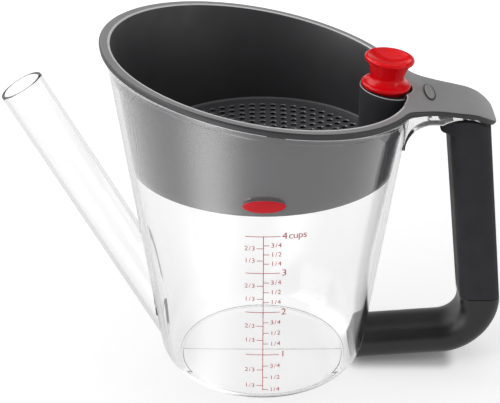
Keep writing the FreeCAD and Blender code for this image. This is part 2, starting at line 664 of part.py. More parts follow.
def grip_bracket():
    """Clear bracket from the jug's wall over the grip, with a foot on the spine and the screw's hole."""
    seat = Vector(SCREW_X, 0, screw_top())
    head_room = Part.makeCylinder(SCREW_HEAD_RADIUS + SCREW_CLEARANCE, FAR / 8, seat, UP)
    shank_room = Part.makeCylinder(SCREW_RADIUS + SCREW_CLEARANCE, FAR / 8, seat, UP * -1)
    body = bracket_arm().fuse(bracket_foot())
    return one_solid(body.cut([jug_outside(), jug_bead(), head_room, shank_room]))


def spout_tube():
    """Straight clear spout, trimmed to the jug's wall, with a rounded mouth."""
    tube = Part.makeCylinder(SPOUT_RADIUS, FAR / 2, MOUTH, SPOUT_DOWN).cut(spout_bore())
    tube = tube.cut(jug_outside())
    tube = min(tube.Solids, key=lambda solid: solid.BoundBox.XMin)
    mouth_edges = [e for e in tube.Edges
                   if all(abs((v.Point - MOUTH).dot(SPOUT_DOWN)) < 0.01 for v in e.Vertexes)]
    return one_solid(tube.makeFillet(SPOUT_LIP_ROUND, mouth_edges))


def bracket_screw():
    """Pan head screw that holds the bracket down on the spine."""
    seat = Vector(SCREW_X, 0, screw_top())
    head = Part.makeCylinder(SCREW_HEAD_RADIUS, SCREW_HEAD_HEIGHT, seat, UP)
    head = head.makeFillet(SCREW_HEAD_HEIGHT / 3, [e for e in head.Edges if e.BoundBox.ZMin > seat.z + 1.0])
    shank = Part.makeCylinder(SCREW_RADIUS, SCREW_LENGTH, seat - UP * SCREW_LENGTH, UP)
    slot = SCREW_HEAD_RADIUS
    slots = [Part.makeBox(a, b, SCREW_RECESS, seat + Vector(-a / 2, -b / 2, SCREW_HEAD_HEIGHT - SCREW_RECESS))
             for a, b in ((slot, slot / 4), (slot / 4, slot))]
    return one_solid(head.fuse(shank).cut(slots))


NODES = {
    "jug_body": jug_body,
    "spout_tube": spout_tube,
    "grip_bracket": grip_bracket,
    "front_badge": front_badge,
    "handle_frame": handle_frame,
    "grip_sleeve": grip_sleeve,
    "bracket_screw": bracket_screw,
    "strainer_basket": strainer_basket,
    "strainer_floor": strainer_floor,
    "stopper": stopper,
}


def main():
    os.makedirs("parts", exist_ok=True)
    for name, build in NODES.items():
        shape = build()
        if not shape.isValid():
            raise RuntimeError(name + " is not a valid solid")
        shape.exportStep("parts/%s.step" % name)
        box = shape.BoundBox
        print("%-16s %9.1f mm3  x %.1f..%.1f  y %.1f..%.1f  z %.1f..%.1f" % (
            name, shape.Volume, box.XMin, box.XMax, box.YMin, box.YMax, box.ZMin, box.ZMax))


if __name__ == "__main__":
    main()
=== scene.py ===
"""Looks of the gravy fat separator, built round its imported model.

The clear jug with its spout, the strainer, the stopper and the handle are smooth meshes that stand for the
model's nodes. Sizes are in millimetres, in the model's frame: the origin is the centre of the base on the
table, +Z is up, the handle is towards +X and the spout towards -X.
"""

import logging
import math
from dataclasses import dataclass, field
from enum import Enum, IntEnum
from typing import Callable, Sequence

import bmesh
import bpy
from mathutils import Matrix, Vector

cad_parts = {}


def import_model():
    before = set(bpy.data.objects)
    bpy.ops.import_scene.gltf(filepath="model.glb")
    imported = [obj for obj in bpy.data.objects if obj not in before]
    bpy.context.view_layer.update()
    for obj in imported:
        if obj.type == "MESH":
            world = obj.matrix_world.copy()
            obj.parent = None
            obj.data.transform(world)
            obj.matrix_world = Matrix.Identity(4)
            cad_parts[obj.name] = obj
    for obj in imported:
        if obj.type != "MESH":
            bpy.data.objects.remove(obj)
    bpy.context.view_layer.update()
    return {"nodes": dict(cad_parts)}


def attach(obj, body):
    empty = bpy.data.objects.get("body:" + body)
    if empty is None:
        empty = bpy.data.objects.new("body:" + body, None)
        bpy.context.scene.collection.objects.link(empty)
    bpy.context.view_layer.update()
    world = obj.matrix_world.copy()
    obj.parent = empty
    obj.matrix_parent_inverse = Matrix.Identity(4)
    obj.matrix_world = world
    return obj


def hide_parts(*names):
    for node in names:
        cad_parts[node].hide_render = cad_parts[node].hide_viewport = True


LOG = logging.getLogger("gravy_separator")
MM = 0.001

Object = bpy.types.Object
Material = bpy.types.Material
Socket = bpy.types.NodeSocket
Ring = list[Vector]
Colour = tuple[float, ...]
Pair = tuple[float, float]
Pairs = Sequence[Pair]
Feeds = dict[str | int, object]
Passage = tuple[float, float, float, float]
WHITE = (1.0, 1.0, 1.0, 1.0)


class Combine(Enum):
    """How one solid is joined with another."""

    ADD = "UNION"
    CUT = "DIFFERENCE"


class Part(Enum):
    """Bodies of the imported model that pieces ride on."""

    JUG = "jug"
    STRAINER = "strainer"
    STOPPER = "stopper"


class Slot(Enum):
    """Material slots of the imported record."""

    CLEAR = "clear_plastic"
    GREY = "grey_plastic"
    BLACK = "black_plastic"
    GRIP = "soft_grip"
    RUBBER = "red_rubber"
    RED = "red_plastic"


class BasketFinish(IntEnum):
    """Places of the strainer's tones in its list of materials: copies of one dark plastic that paint its
    light and shade.
    """

    INSIDE = 0
    TOP = 1
    BAND = 2
    EDGE = 3


# ---------------------------------------------------------------- small sums


def mix(start: float, finish: float, share: float) -> float:
    """Value at a share of the way from start to finish."""
    return start + (finish - start) * share


def ease(low: float, high: float, value: float) -> float:
    """Smooth step from 0 at low to 1 at high."""
    share = min(max((value - low) / (high - low), 0.0), 1.0)
    return share * share * (3.0 - 2.0 * share)


def shares(count: int, first: bool = True, last: bool = True) -> list[float]:
    """Shares of a way of count steps; first and last say whether 0 and 1 are among them."""
    return [step / count for step in range(0 if first else 1, count + 1 if last else count)]


def around(count: int, shift: float = 0.0) -> list[float]:
    """Angles spread evenly round a circle, moved on by a share of a step."""
    return [2 * math.pi * (step + shift) / count for step in range(count)]


def polar(radius: float, angle: float, height: float) -> Vector:
    """Point at a radius, angle and height about the Z axis."""
    return Vector((radius * math.cos(angle), radius * math.sin(angle), height))


def lengthwise(x: float, z: float) -> Vector:
    """Vector in the upright plane through the spout and the handle."""
    return Vector((x, 0.0, z))


def bend(start: Vector, leaving: Vector, finish: Vector, arriving: Vector, share: float) -> Vector:
    """Point of a smooth curve.

    Args:
        start: First point.
        leaving: Direction and strength of the curve's pull there.
        finish: Last point.
        arriving: Direction and strength of the pull there.
        share: How far along the curve, 0 to 1.

    Returns:
        The point at that share.
    """
    square, cube = share * share, share**3
    ends = start * (2 * cube - 3 * square + 1) + finish * (3 * square - 2 * cube)
    return ends + leaving * (cube - 2 * square + share) + arriving * (cube - square)


def quarter(radius: float, steps: int) -> list[Pair]:
    """Rounding of an edge, from the top down, as (distance in from the side, distance down)."""
    turns = [math.pi / 2 * share for share in shares(steps)]
    return [(radius * (1 - math.sin(turn)), radius * (1 - math.cos(turn))) for turn in turns]


def rounded_section(depth: float, width: float, corner: float, steps: int = 9, flats: int = 6) -> list[Pair]:
    """Rounded rectangle, counter-clockwise.

    Args:
        depth: Full size across.
        width: Full size along.
        corner: Radius of the corners.
        steps: Steps in each corner.
        flats: Steps on each straight side.

    Returns:
        Points as (across, along), always as many for the same steps and flats.
    """
    arcs = []
    for middle in (math.pi / 4 + turn * math.pi / 2 for turn in range(4)):
        across = math.copysign(depth / 2 - corner, math.cos(middle))
        along = math.copysign(width / 2 - corner, math.sin(middle))
        angles = [middle - math.pi / 4 + math.pi / 2 * share for share in shares(steps)]
        arcs.append([(across + corner * math.cos(angle), along + corner * math.sin(angle))
                     for angle in angles])
    points = []
    for arc, after in zip(arcs, arcs[1:] + arcs[:1]):
        (x, y), (next_x, next_y) = arc[-1], after[0]
        sides = shares(flats, first=False, last=False)
        points += arc + [(mix(x, next_x, share), mix(y, next_y, share)) for share in sides]
    return points


# ---------------------------------------------------------------- meshes


def smooth(piece: Object, crease: float) -> None:
    """Shades a piece smooth, apart from edges sharper than crease degrees."""
    piece.data.shade_smooth()
    piece.data.set_sharp_from_angle(angle=math.radians(crease))


def finished(shape: bmesh.types.BMesh, name: str, crease: float = 34.0) -> Object:
    """Turns a bmesh in millimetres into an object in metres.

    Args:
        shape: The mesh being built; it is freed.
        name: Name of the object.
        crease: Edges sharper than this many degrees stay sharp.

    Returns:
        The object, linked to the scene.
    """
    bmesh.ops.scale(shape, vec=(MM, MM, MM), verts=shape.verts)
    bmesh.ops.recalc_face_normals(shape, faces=shape.faces)
    if shape.calc_volume(signed=True) < 0:
        bmesh.ops.reverse_faces(shape, faces=shape.faces)
    piece = bpy.data.objects.new(name, bpy.data.meshes.new(name))
    shape.to_mesh(piece.data)
    shape.free()
    bpy.context.scene.collection.objects.link(piece)
    smooth(piece, crease)
    return piece


def skin(name: str, rings: Sequence[Ring], hoop: bool = False, crease: float = 34.0,
         bands: Sequence[int] = ()) -> Object:
    """Closed skin over a row of rings of equal length.

    Args:
        name: Name of the object.
        rings: Rings of points in millimetres, in order.
        hoop: Whether the last ring joins the first; otherwise both ends are closed by a fan.
        crease: Edges sharper than this many degrees stay sharp.
        bands: Material index of each band of faces between a ring and the next.

    Returns:
        The object.
    """
    shape = bmesh.new()
    bands = bands or [0] * len(rings)
    rows = [[shape.verts.new(point) for point in ring] for ring in rings]
    for lower, upper, band in zip(rows, rows[1:] + rows[:1] if hoop else rows[1:], bands):
        for side in range(len(lower)):
            after = (side + 1) % len(lower)
            face = shape.faces.new((lower[side], lower[after], upper[after], upper[side]))
            face.material_index = band
    if not hoop:
        for row, band in ((rows[0], bands[0]), (rows[-1], bands[-1])):
            middle = shape.verts.new(sum((vert.co for vert in row), Vector()) / len(row))
            for side in range(len(row)):
                face = shape.faces.new((row[side], row[(side + 1) % len(row)], middle))
                face.material_index = band
    return finished(shape, name, crease)


def turned(name: str, column: Callable[[float], Ring], segments: int) -> Object:
    """Shape turned about the Z axis, whose profile column gives for each angle."""
    return skin(name, list(zip(*(column(angle) for angle in around(segments)))))


def bake(piece: Object) -> None:
    """Replaces a piece's mesh by its modifiers' result.

    Args:
        piece: Piece that is changed.
    """
    graph = bpy.context.evaluated_depsgraph_get()
    mesh = bpy.data.meshes.new_from_object(piece.evaluated_get(graph), depsgraph=graph)
    piece.modifiers.clear()
    piece.data = mesh


def combine(body: Object, tool: Object, how: Combine) -> None:
    """Adds a tool's solid to a body or cuts it away, and removes the tool.

    Args:
        body: Piece that is changed.
        tool: Solid that is used up.
        how: Whether it is added or cut away.
    """
    step = body.modifiers.new("combine", "BOOLEAN")
    step.operation = how.value
    step.solver = "EXACT"
    step.object = tool
    bake(body)
    bpy.data.objects.remove(tool)


def join(body: Object, *others: Object) -> None:
    """Puts the meshes of other objects into body's mesh, side by side, and removes the others.

    Args:
        body: Piece that they go into.
        others: Pieces that are used up.
    """
    shape = bmesh.new()
    for piece in (body, *others):
        shape.from_mesh(piece.data)
    shape.to_mesh(body.data)
    shape.free()
    for piece in others:
        bpy.data.objects.remove(piece)


def dress(piece: Object, finishes: Sequence[Material]) -> None:
    """Gives a piece its materials, in slot order."""
    for finish in finishes:
        piece.data.materials.append(finish)


# ---------------------------------------------------------------- finishes


@dataclass
class Wiring:
    """Short hand for building a node tree."""

    tree: bpy.types.NodeTree

    def node(self, kind: str, feeds: Feeds | None = None, **settings: object) -> bpy.types.Node:
        """Adds a node.

        Args:
            kind: Its type.
            feeds: Sockets or plain values for its inputs, by name or number.
            settings: Its attributes, which are set first.

        Returns:
            The node.
        """
        node = self.tree.nodes.new(kind)
        for key, value in settings.items():
            setattr(node, key, value)
        for key, value in (feeds or {}).items():
            if isinstance(value, Socket):
                self.tree.links.new(value, node.inputs[key])
            else:
                node.inputs[key].default_value = value
        return node

    def sum(self, operation: str, first: object, second: object = 0.0) -> Socket:
        """Arithmetic on two sockets or numbers."""
        return self.node("ShaderNodeMath", {0: first, 1: second}, operation=operation).outputs[0]

    def vector(self, operation: str, first: object, second: object, output: str = "Vector") -> Socket:
        """Arithmetic on two vectors."""
        return self.node("ShaderNodeVectorMath", {0: first, 1: second}, operation=operation).outputs[output]

    def parts(self, source: Socket) -> bpy.types.NodeOutputs:
        """X, Y and Z of a vector."""
        return self.node("ShaderNodeSeparateXYZ", {0: source}).outputs

    def fade(self, source: Socket, start: float, finish: float, low: float, high: float,
             passage: str = "SMOOTHSTEP") -> Socket:
        """Passage from low to high as the source goes from start to finish."""
        feeds = {"Value": source, "From Min": start, "From Max": finish, "To Min": low, "To Max": high}
        return self.node("ShaderNodeMapRange", feeds, interpolation_type=passage).outputs["Result"]

    def mixed(self, share: object, first: Socket, second: Socket) -> Socket:
        """Mix of two shaders: the first at a share of 0."""
        return self.node("ShaderNodeMixShader", {0: share, 1: first, 2: second}).outputs[0]

    def glow(self, kind: str, strength: object) -> Socket:
        """White light of a strength, from an Emission or a Background node."""
        return self.node("ShaderNode" + kind, {"Color": WHITE, "Strength": strength}).outputs[0]


class Shader(Wiring):
    """Short hand for building one material's node tree."""

    def __init__(self, name: str) -> None:
        """Makes the empty material.

        Args:
            name: Its name.
        """
        self.material = bpy.data.materials.new(name)
        self.material.use_nodes = True
        super().__init__(self.material.node_tree)
        self.tree.nodes.clear()
        self.place = self.node("ShaderNodeTexCoord").outputs["Object"]

    def noise(self, scale: float, detail: float = 3.0, stretch: Sequence[float] = (1, 1, 1)) -> Socket:
        """Noise on Object coordinates.

        Args:
            scale: Features per metre, roughly.
            detail: Octaves.
            stretch: Scale along each axis.

        Returns:
            The noise's Fac socket.
        """
        mapping = self.node("ShaderNodeMapping", {"Vector": self.place, "Scale": stretch})
        feeds = {"Vector": mapping.outputs[0], "Scale": scale, "Detail": detail}
        return self.node("ShaderNodeTexNoise", feeds).outputs["Fac"]

    def spread(self, source: Socket, low: float, high: float) -> Socket:
        """Maps the middle of a noise's range to low and high."""
        return self.fade(source, 0.3, 0.7, low, high, "LINEAR")

    def tones(self, source: Socket, dark: Colour, light: Colour) -> Socket:
        """Colour between two tones by a noise.

        Args:
            source: The noise.
            dark: Tone at its low end.
            light: Tone at its high end.

        Returns:
            The colour's socket.
        """
        ramp = self.node("ShaderNodeValToRGB", {"Fac": source})
        for element, position, tone in zip(ramp.color_ramp.elements, (0.3, 0.7), (dark, light)):
            element.position = position
            element.color = (*tone, 1)
        return ramp.outputs["Color"]

    def relief(self, source: Socket, depth: float) -> Socket:
        """Normal of a relief with a depth in millimetres."""
        feeds = {"Height": source, "Strength": 1.0, "Distance": depth * MM}
        return self.node("ShaderNodeBump", feeds).outputs["Normal"]

    def body(self, feeds: dict[str, object]) -> Socket:
        """Main shader."""
        return self.node("ShaderNodeBsdfPrincipled", feeds).outputs["BSDF"]

    def close(self, **ends: Socket) -> Material:
        """Links the output's Surface and Volume, and hands the material over."""
        self.node("ShaderNodeOutputMaterial", ends)
        return self.material


@dataclass(frozen=True)
class ClearPlastic:
    """Clear moulded plastic with a faint flow of the melt in its surface."""

    name: str = "clear_plastic"
    colour: Colour = (0.99, 0.99, 0.99, 1.0)
    roughness: float = 0.02
    refraction: float = 1.5
    flow_scale: float = 28.0
    flow_depth: float = 0.012
    let_through: Colour = (0.985, 0.985, 0.985, 1.0)
    haze: float = 9.0
    haze_colour: Colour = (0.6, 0.6, 0.6, 1.0)

    def make(self) -> Material:
        """Builds the material; lamps shine through it.

        Returns:
            The material.
        """
        shader = Shader(self.name)
        flow = shader.noise(self.flow_scale, 2.0, (1.0, 1.0, 0.35))
        body = shader.body({"Base Color": self.colour, "Roughness": self.roughness, "IOR": self.refraction,
                            "Transmission Weight": 1.0, "Normal": shader.relief(flow, self.flow_depth)})
        clear = shader.node("ShaderNodeBsdfTransparent", {"Color": self.let_through}).outputs[0]
        path = shader.node("ShaderNodeLightPath").outputs
        either = shader.sum("MAXIMUM", path["Is Shadow Ray"], path["Is Diffuse Ray"])
        haze = shader.node("ShaderNodeVolumeAbsorption", {"Color": self.haze_colour, "Density": self.haze})
        return shader.close(Surface=shader.mixed(either, body, clear), Volume=haze.outputs[0])


@dataclass(frozen=True)
class MouldedPlastic:
    """Opaque moulded plastic or rubber: two close tones, a fine grain and uneven gloss."""

    name: str
    dark: Colour
    light: Colour
    roughness: Pair
    grain_scale: float
    grain_depth: float
    mottle_scale: float = 60.0
    coat: float = 0.0
    coat_roughness: float = 0.05
    shine: float = 0.5
    depth_glow: float = 0.0
    glow_reach: Colour = (1.0, 0.25, 0.2)
    glow_depth: float = 4.0

    def make(self) -> Material:
        """Builds the material.

        Returns:
            The material.
        """
        shader = Shader(self.name)
        mottle = shader.noise(self.mottle_scale, 4.0)
        wear = shader.noise(self.mottle_scale * 2.3, 5.0)
        grain = shader.noise(self.grain_scale, 2.0)
        return shader.close(Surface=shader.body({
            "Base Color": shader.tones(mottle, self.dark, self.light),
            "Roughness": shader.spread(wear, *self.roughness),
            "Normal": shader.relief(grain, self.grain_depth),
            "Specular IOR Level": self.shine,
            "Coat Weight": self.coat,
            "Coat Roughness": self.coat_roughness,
            "Subsurface Weight": self.depth_glow,
            "Subsurface Radius": self.glow_reach,
            "Subsurface Scale": self.glow_depth * MM}))


@dataclass(frozen=True)
class TurnedSteel:
    """Bright steel with fine turning marks about an upright axis."""

    name: str
    axis_x: float
    colour: Colour = (0.62, 0.62, 0.63, 1.0)
    roughness: Pair = (0.22, 0.34)
    marks_scale: float = 900.0
    marks_depth: float = 0.004

    def make(self) -> Material:
        """Builds the material.

        Returns:
            The material.
        """
        shader = Shader(self.name)
        shift = (-self.axis_x * MM, 0, 0)
        centred = shader.node("ShaderNodeMapping", {"Vector": shader.place, "Location": shift})
        feeds = {"Vector": centred.outputs[0], "Scale": self.marks_scale, "Distortion": 1.5}
        marks = shader.node("ShaderNodeTexWave", feeds, wave_type="RINGS", rings_direction="Z").outputs["Fac"]
        return shader.close(Surface=shader.body({
            "Base Color": self.colour, "Metallic": 1.0, "Roughness": shader.spread(marks, *self.roughness),
            "Normal": shader.relief(marks, self.marks_depth)}))


# The strainer is one dark plastic. The next four are copies of it that paint its light and shade. The first
# is painted shade for the inside, the rim's sides and undersides and round the boss. The second paints the
# light from above on the rim and tab. The third paints light and reflections on the outer wall, and also the
# highlight ring on the floor ledge and round the plate's holes. The fourth is a pale painted highlight along
# edges.
INSIDE = MouldedPlastic("strainer_inside_painted_shade", (0.018, 0.0175, 0.021), (0.024, 0.0235, 0.0275), (0.5, 0.58),
                        1600.0, 0.006, shine=0.85)
TOP = MouldedPlastic("strainer_top_painted_light", (0.305, 0.305, 0.308), (0.325, 0.325, 0.328), (0.34, 0.44),
                     1600.0, 0.006)
BAND = MouldedPlastic("strainer_band_painted_light", (0.147, 0.145, 0.153), (0.156, 0.154, 0.162), (0.16, 0.22),
                      500.0, 0.00012, coat=0.6)
EDGE = MouldedPlastic("strainer_edge_painted_highlight", (0.74, 0.74, 0.745), (0.8, 0.8, 0.805), (0.2, 0.3), 1600.0, 0.002)
PLATE = MouldedPlastic("strainer_plate", (0.07, 0.069, 0.076), (0.085, 0.084, 0.092), (0.4, 0.5),
                       1600.0, 0.01)
# Near black for the holes' walls: painted shade in the holes.
HOLE_SHADE = MouldedPlastic("strainer_holes_painted_shade", (0.004, 0.004, 0.004), (0.006, 0.006, 0.006), (0.6, 0.7),
                       1600.0, 0.002, shine=0.1)
SILICONE = MouldedPlastic("red_silicone", (0.93, 0.003, 0.008), (1.0, 0.004, 0.011), (0.16, 0.22),
                          700.0, 0.001, shine=0.25, depth_glow=0.5)
ARM = MouldedPlastic("arm_plastic", (0.011, 0.011, 0.012), (0.016, 0.016, 0.017), (0.36, 0.44),
                     1500.0, 0.008, shine=0.6)
GRIP = MouldedPlastic("soft_grip", (0.034, 0.034, 0.039), (0.042, 0.042, 0.047), (0.6, 0.75),
                      1800.0, 0.03, shine=0.25)
BADGE_RED = MouldedPlastic("badge_red", (0.72, 0.01, 0.02), (0.8, 0.014, 0.026), (0.3, 0.4),
                           700.0, 0.002, shine=0.3)
INK = MouldedPlastic("scale_ink", (0.55, 0.02, 0.04), (0.62, 0.03, 0.05), (0.4, 0.5), 900.0, 0.002)


# ---------------------------------------------------------------- shape shared by the jug and the strainer


@dataclass(frozen=True)
class JugForm:
    """Cone of the jug's wall and the sloping plane of its rim."""

    base_radius: float = 49.9
    flare: float = 0.139
    wall: float = 2.5
    floor: float = 3.0
    base_round: float = 15.0
    rim_height: float = 160.6
    rim_slope: float = math.radians(10.26)
    rim_thickness: float = 3.4

    @property
    def slant(self) -> float:
        """Length along the wall for each mm of height."""
        return math.sqrt(1 + self.flare**2)

    @property
    def inside(self) -> float:
        """Offset of the inner wall from the outer one."""
        return -self.wall * self.slant

    def radius(self, height: float, offset: float = 0.0) -> float:
        """Radius of the outer wall at a height, moved out by an offset."""
        return self.base_radius + self.flare * height + offset

    def rim(self, x: float, drop: float = 0.0) -> float:
        """Height of the rim plane at x, lowered by drop."""
        return self.rim_height - math.tan(self.rim_slope) * x - drop

    def on_slope(self, angle: float, drop: float, offset: float) -> Vector:
        """Point of the offset wall that lies a drop under the rim plane.

        Args:
            angle: Angle about the axis.
            drop: Distance under the rim plane.
            offset: Offset of the wall.

        Returns:
            The point.
        """
        lean = 1 + self.flare * math.tan(self.rim_slope) * math.cos(angle)
        radius = self.radius(self.rim_height - drop, offset) / lean
        return polar(radius, angle, self.rim(radius * math.cos(angle), drop))

    def on_wall(self, angle: float, height: float, offset: float = 0.0) -> Vector:
        """Point of the offset wall at a height."""
        return polar(self.radius(height, offset), angle, height)

    def corner(self, angle: float, offset: float, floor: float, radius: float, steps: int) -> Ring:
        """Rounding between a floor and the offset wall.

        Args:
            angle: Angle about the axis.
            offset: Offset of the wall.
            floor: Height of the floor.
            radius: Radius of the rounding.
            steps: Steps in it.

        Returns:
            Its points, from the floor up.
        """
        height = floor + radius
        reach = self.radius(height, offset) - radius * self.slant
        finish = math.pi / 2 - math.atan(self.flare)
        return [polar(reach + radius * math.sin(turn), angle, height - radius * math.cos(turn))
                for turn in (finish * share for share in shares(steps))]

    def front(self, across: float, height: float, proud: float) -> Vector:
        """Point on the front of the wall, measured round it to the right.

        Args:
            across: Distance round the wall.
            height: Height above the table.
            proud: Distance out of the wall.

        Returns:
            The point.
        """
        radius = self.radius(height)
        turn = across / radius
        return Vector(((radius + proud) * math.sin(turn), -(radius + proud) * math.cos(turn), height))


@dataclass(frozen=True)
class ThumbTab:
    """Surfaces of the thumb tab and of the grip's arch that the bracket runs between."""

    form: JugForm
    edge_height: float = 146.6
    edge_x: float = 66.0
    crown: float = 1.2
    crown_reach: float = 30.0
    thickness: float = 2.4
    bend_start: float = 95.5
    bend_radius: float = 28.0
    steepest: float = 0.99
    arch_x: float = 94.5
    arch_top: float = 136.7
    arch_radius: float = 20.6

    def slope_angle(self, x: float) -> float:
        """Angle below level of the tab at x.

        Args:
            x: Place along X.

        Returns:
            The angle, which grows past the bend.
        """
        centre_x = self.bend_start - self.bend_radius * math.sin(self.form.rim_slope)
        bent = math.asin(max(min((x - centre_x) / self.bend_radius, self.steepest), 0.0))
        return self.form.rim_slope if x <= self.bend_start else bent

    def height(self, x: float, y: float) -> float:
        """Height of the tab's top surface.

        Args:
            x: Place along X.
            y: Place along Y.

        Returns:
            The height.
        """
        slope = self.form.rim_slope
        straight = self.edge_height - math.tan(slope) * (min(x, self.bend_start) - self.edge_x)
        fall = self.bend_radius * (math.cos(slope) - math.cos(self.slope_angle(x)))
        return straight - fall + self.crown * (1 - (y / self.crown_reach) ** 2)

    def underside(self, x: float, y: float) -> float:
        """Height of the tab's underside."""
        return self.height(x, y) - self.thickness / math.cos(self.slope_angle(x))

    def grip_arch(self, x: float) -> float:
        """Height of the grip's arched top."""
        reach = min(abs(x - self.arch_x), self.arch_radius)
        return self.arch_top - self.arch_radius + math.sqrt(self.arch_radius**2 - reach**2)


# ---------------------------------------------------------------- clear jug and spout


@dataclass
class ClearJug:
    """Clear jug, spout and bracket, moulded in one."""

    form: JugForm
    tab: ThumbTab
    segments: int = 288
    wall_steps: int = 26
    foot_rings: Pair = (9.0, 24.0)
    inner_round: float = 9.0
    lip_overhang: float = 1.1
    lip_depth: float = 3.2
    mouth: Vector = field(default_factory=lambda: lengthwise(-114.1, 149.3))
    tilt: float = math.radians(28.5)
    spout_radius: float = 10.8
    bore_radius: float = 9.2
    bore_taper: float = 0.4
    tube_length: float = 154.0
    bore_length: float = 152.0
    seat_length: float = 22.0
    port_top: float = 27.0
    bracket_width: float = 26.0
    bracket_underside: float = 133.9
    bracket_fillet: float = 13.0
    bracket_start: float = 58.0
    bracket_end: float = 105.5
    bracket_gap: float = 0.5
    bracket_rib: float = 2.2
    pockets_x: Pairs = ((60.0, 77.0), (78.6, 88.5))
    screw_x: float = 97.4
    screw_seat: float = 136.4
    screw_holes: tuple = ((3.65, 0.0, 12.0), (2.0, -12.0, 1.0))
    foot_ring: float = 42.0
    foot_groove: Pair = (1.1, 0.36)
    parting_groove: float = 0.32

    def filled(self, name: str, offset: float, floor: float, rounding: Pair, wall_drop: float,
               lip: Pairs) -> Object:
        """Filled form of the jug's outside or inside.

        Args:
            name: Name of the object.
            offset: Offset of its wall.
            floor: Height of its floor.
            rounding: Radius between the floor and the wall, and steps in it.
            wall_drop: How far under the rim plane the wall ends.
            lip: Further points, as (drop under the rim plane, offset).

        Returns:
            The solid.
        """
        form = self.form

        def column(angle: float) -> Ring:
            """Profile at an angle.

            Args:
                angle: Angle about the axis.

            Returns:
                Its points, from the floor's middle up.
            """
            corner = form.corner(angle, offset, floor, *rounding)
            foot = [polar(radius, angle, floor) for radius in self.foot_rings]
            finish = form.on_slope(angle, wall_drop, offset).z
            wall = [form.on_wall(angle, mix(corner[-1].z, finish, share), offset)
                    for share in shares(self.wall_steps, first=False)]
            return foot + corner + wall + [form.on_slope(angle, drop, out) for drop, out in lip]

        return turned(name, column, self.segments)

    def outside(self) -> Object:
        """Filled outer form, with the bead round its mouth.

        Returns:
            The solid.
        """
        top, out = self.form.rim_thickness, self.lip_overhang
        low = top + self.lip_depth
        bead = [(low + 0.15, 0.18), (low - 0.25, 0.55), (low - 0.55, 0.9), (low - 0.9, out),
                (top + 0.7, out), (top + 0.3, 0.98), (top + 0.06, 0.7), (top, 0.35), (top, -20.0),
                (top, -45.0)]
        return self.filled("clear_jug", 0.0, 0.0, (self.form.base_round, 14), low + 0.6, bead)

    def inside(self) -> Object:
        """Filled inner form, standing up through the mouth.

        Returns:
            The solid.
        """
        form = self.form
        low = form.rim_thickness + 0.5
        edge = [(low - 0.3, form.inside + 0.1), (low - 0.62, form.inside + 0.5), (-8.0, form.inside + 0.5),
                (-8.0, -45.0)]
        return self.filled("jug_inside", form.inside, form.floor, (self.inner_round, 12), low, edge)

    def along_spout(self, name: str, profile: Pairs) -> Object:
        """Solid turned about the spout's axis.

        Args:
            name: Name of the object.
            profile: Its outline, as (distance past the mouth, radius).

        Returns:
            The solid.
        """
        down = lengthwise(math.sin(self.tilt), -math.cos(self.tilt))
        side = lengthwise(math.cos(self.tilt), math.sin(self.tilt))
        front = Vector((0.0, -1.0, 0.0))
        rims = [side * math.cos(turn) + front * math.sin(turn) for turn in around(96)]
        return skin(name, [[self.mouth + down * depth + rim * radius for rim in rims]
                           for depth, radius in profile])

    def spout(self) -> Object:
        """Filled outer form of the spout, with a rounded mouth.

        Returns:
            The solid.
        """
        mouth = [(depth, self.spout_radius - back) for depth, back in
                 ((0.0, 0.55), (0.06, 0.28), (0.24, 0.08), (0.55, 0.0))]
        stretch = [(mix(1.5, self.tube_length, share), self.spout_radius) for share in shares(30)]
        return self.along_spout("spout", mouth + stretch)

    def bore(self) -> Object:
        """Hollow of the spout; the jug's wall is kept in it above the port.

        Returns:
            The solid.
        """
        mouth = [(depth, self.bore_radius + out) for depth, out in
                 ((-2.0, 1.1), (-0.1, 0.62), (0.12, 0.2), (0.3, 0.06), (0.6, 0.0))]
        depths = [mix(1.5, self.bore_length, share) for share in shares(30)]
        tapers = [self.bore_taper * ease(self.seat_length, self.bore_length, depth) for depth in depths]
        stretch = [(depth, self.bore_radius - taper) for depth, taper in zip(depths, tapers)]
        hollow = self.along_spout("bore", mouth + stretch)

        def column(angle: float) -> Ring:
            """Profile of the wall that is kept.

            Args:
                angle: Angle about the axis.

            Returns:
                Its points, from the port up.
            """
            low, high = self.port_top, self.mouth.z
            wall = [self.form.on_wall(angle, mix(low, high, share)) for share in shares(20)]
            return [polar(20.0, angle, low)] + wall + [polar(20.0, angle, high)]

        combine(hollow, turned("kept_wall", column, self.segments), Combine.CUT)
        return hollow

    def bracket_low(self, x: float) -> float:
        """Height of the bracket's underside at x: a fillet, then the level, then the grip's arch.

        Args:
            x: Place along X.

        Returns:
            The height.
        """
        low = self.bracket_underside - self.bracket_fillet
        reach = min(self.form.radius(low) + self.bracket_fillet - x, self.bracket_fillet)
        if reach > 0:
            return low + math.sqrt(max(self.bracket_fillet**2 - reach**2, 0.0))
        return max(self.bracket_underside, self.tab.grip_arch(x) + 0.1)

    def bracket_high(self, x: float, y: float) -> float:
        """Height of the bracket's top at a place, under the tab and the rim."""
        under_tab = self.tab.underside(x, y) - self.bracket_gap
        return min(under_tab, self.form.rim(x, self.form.rim_thickness + 0.02))

    def bar(self, name: str, stations: Sequence[float], width: float, lift: float, rise: float) -> Object:
        """Bar along X that follows the bracket.

        Args:
            name: Name of the object.
            stations: Places along X.
            width: Full width.
            lift: How far its underside lies above the bracket's.
            rise: How far its top lies above the bracket's.

        Returns:
            The solid.
        """
        rings = []
        for x in stations:
            ring = []
            for across, along in rounded_section(2.0, width, 0.9, 5, 5):
                low, high = self.bracket_low(x) + lift, self.bracket_high(x, along) + rise
                middle, half = (low + high) / 2, (high - low) / 2
                height = middle + math.copysign(half - 1.0, across) + across if abs(across) > 1e-9 else middle
                ring.append(Vector((x, along, height)))
            rings.append(ring)
        return skin(name, rings)

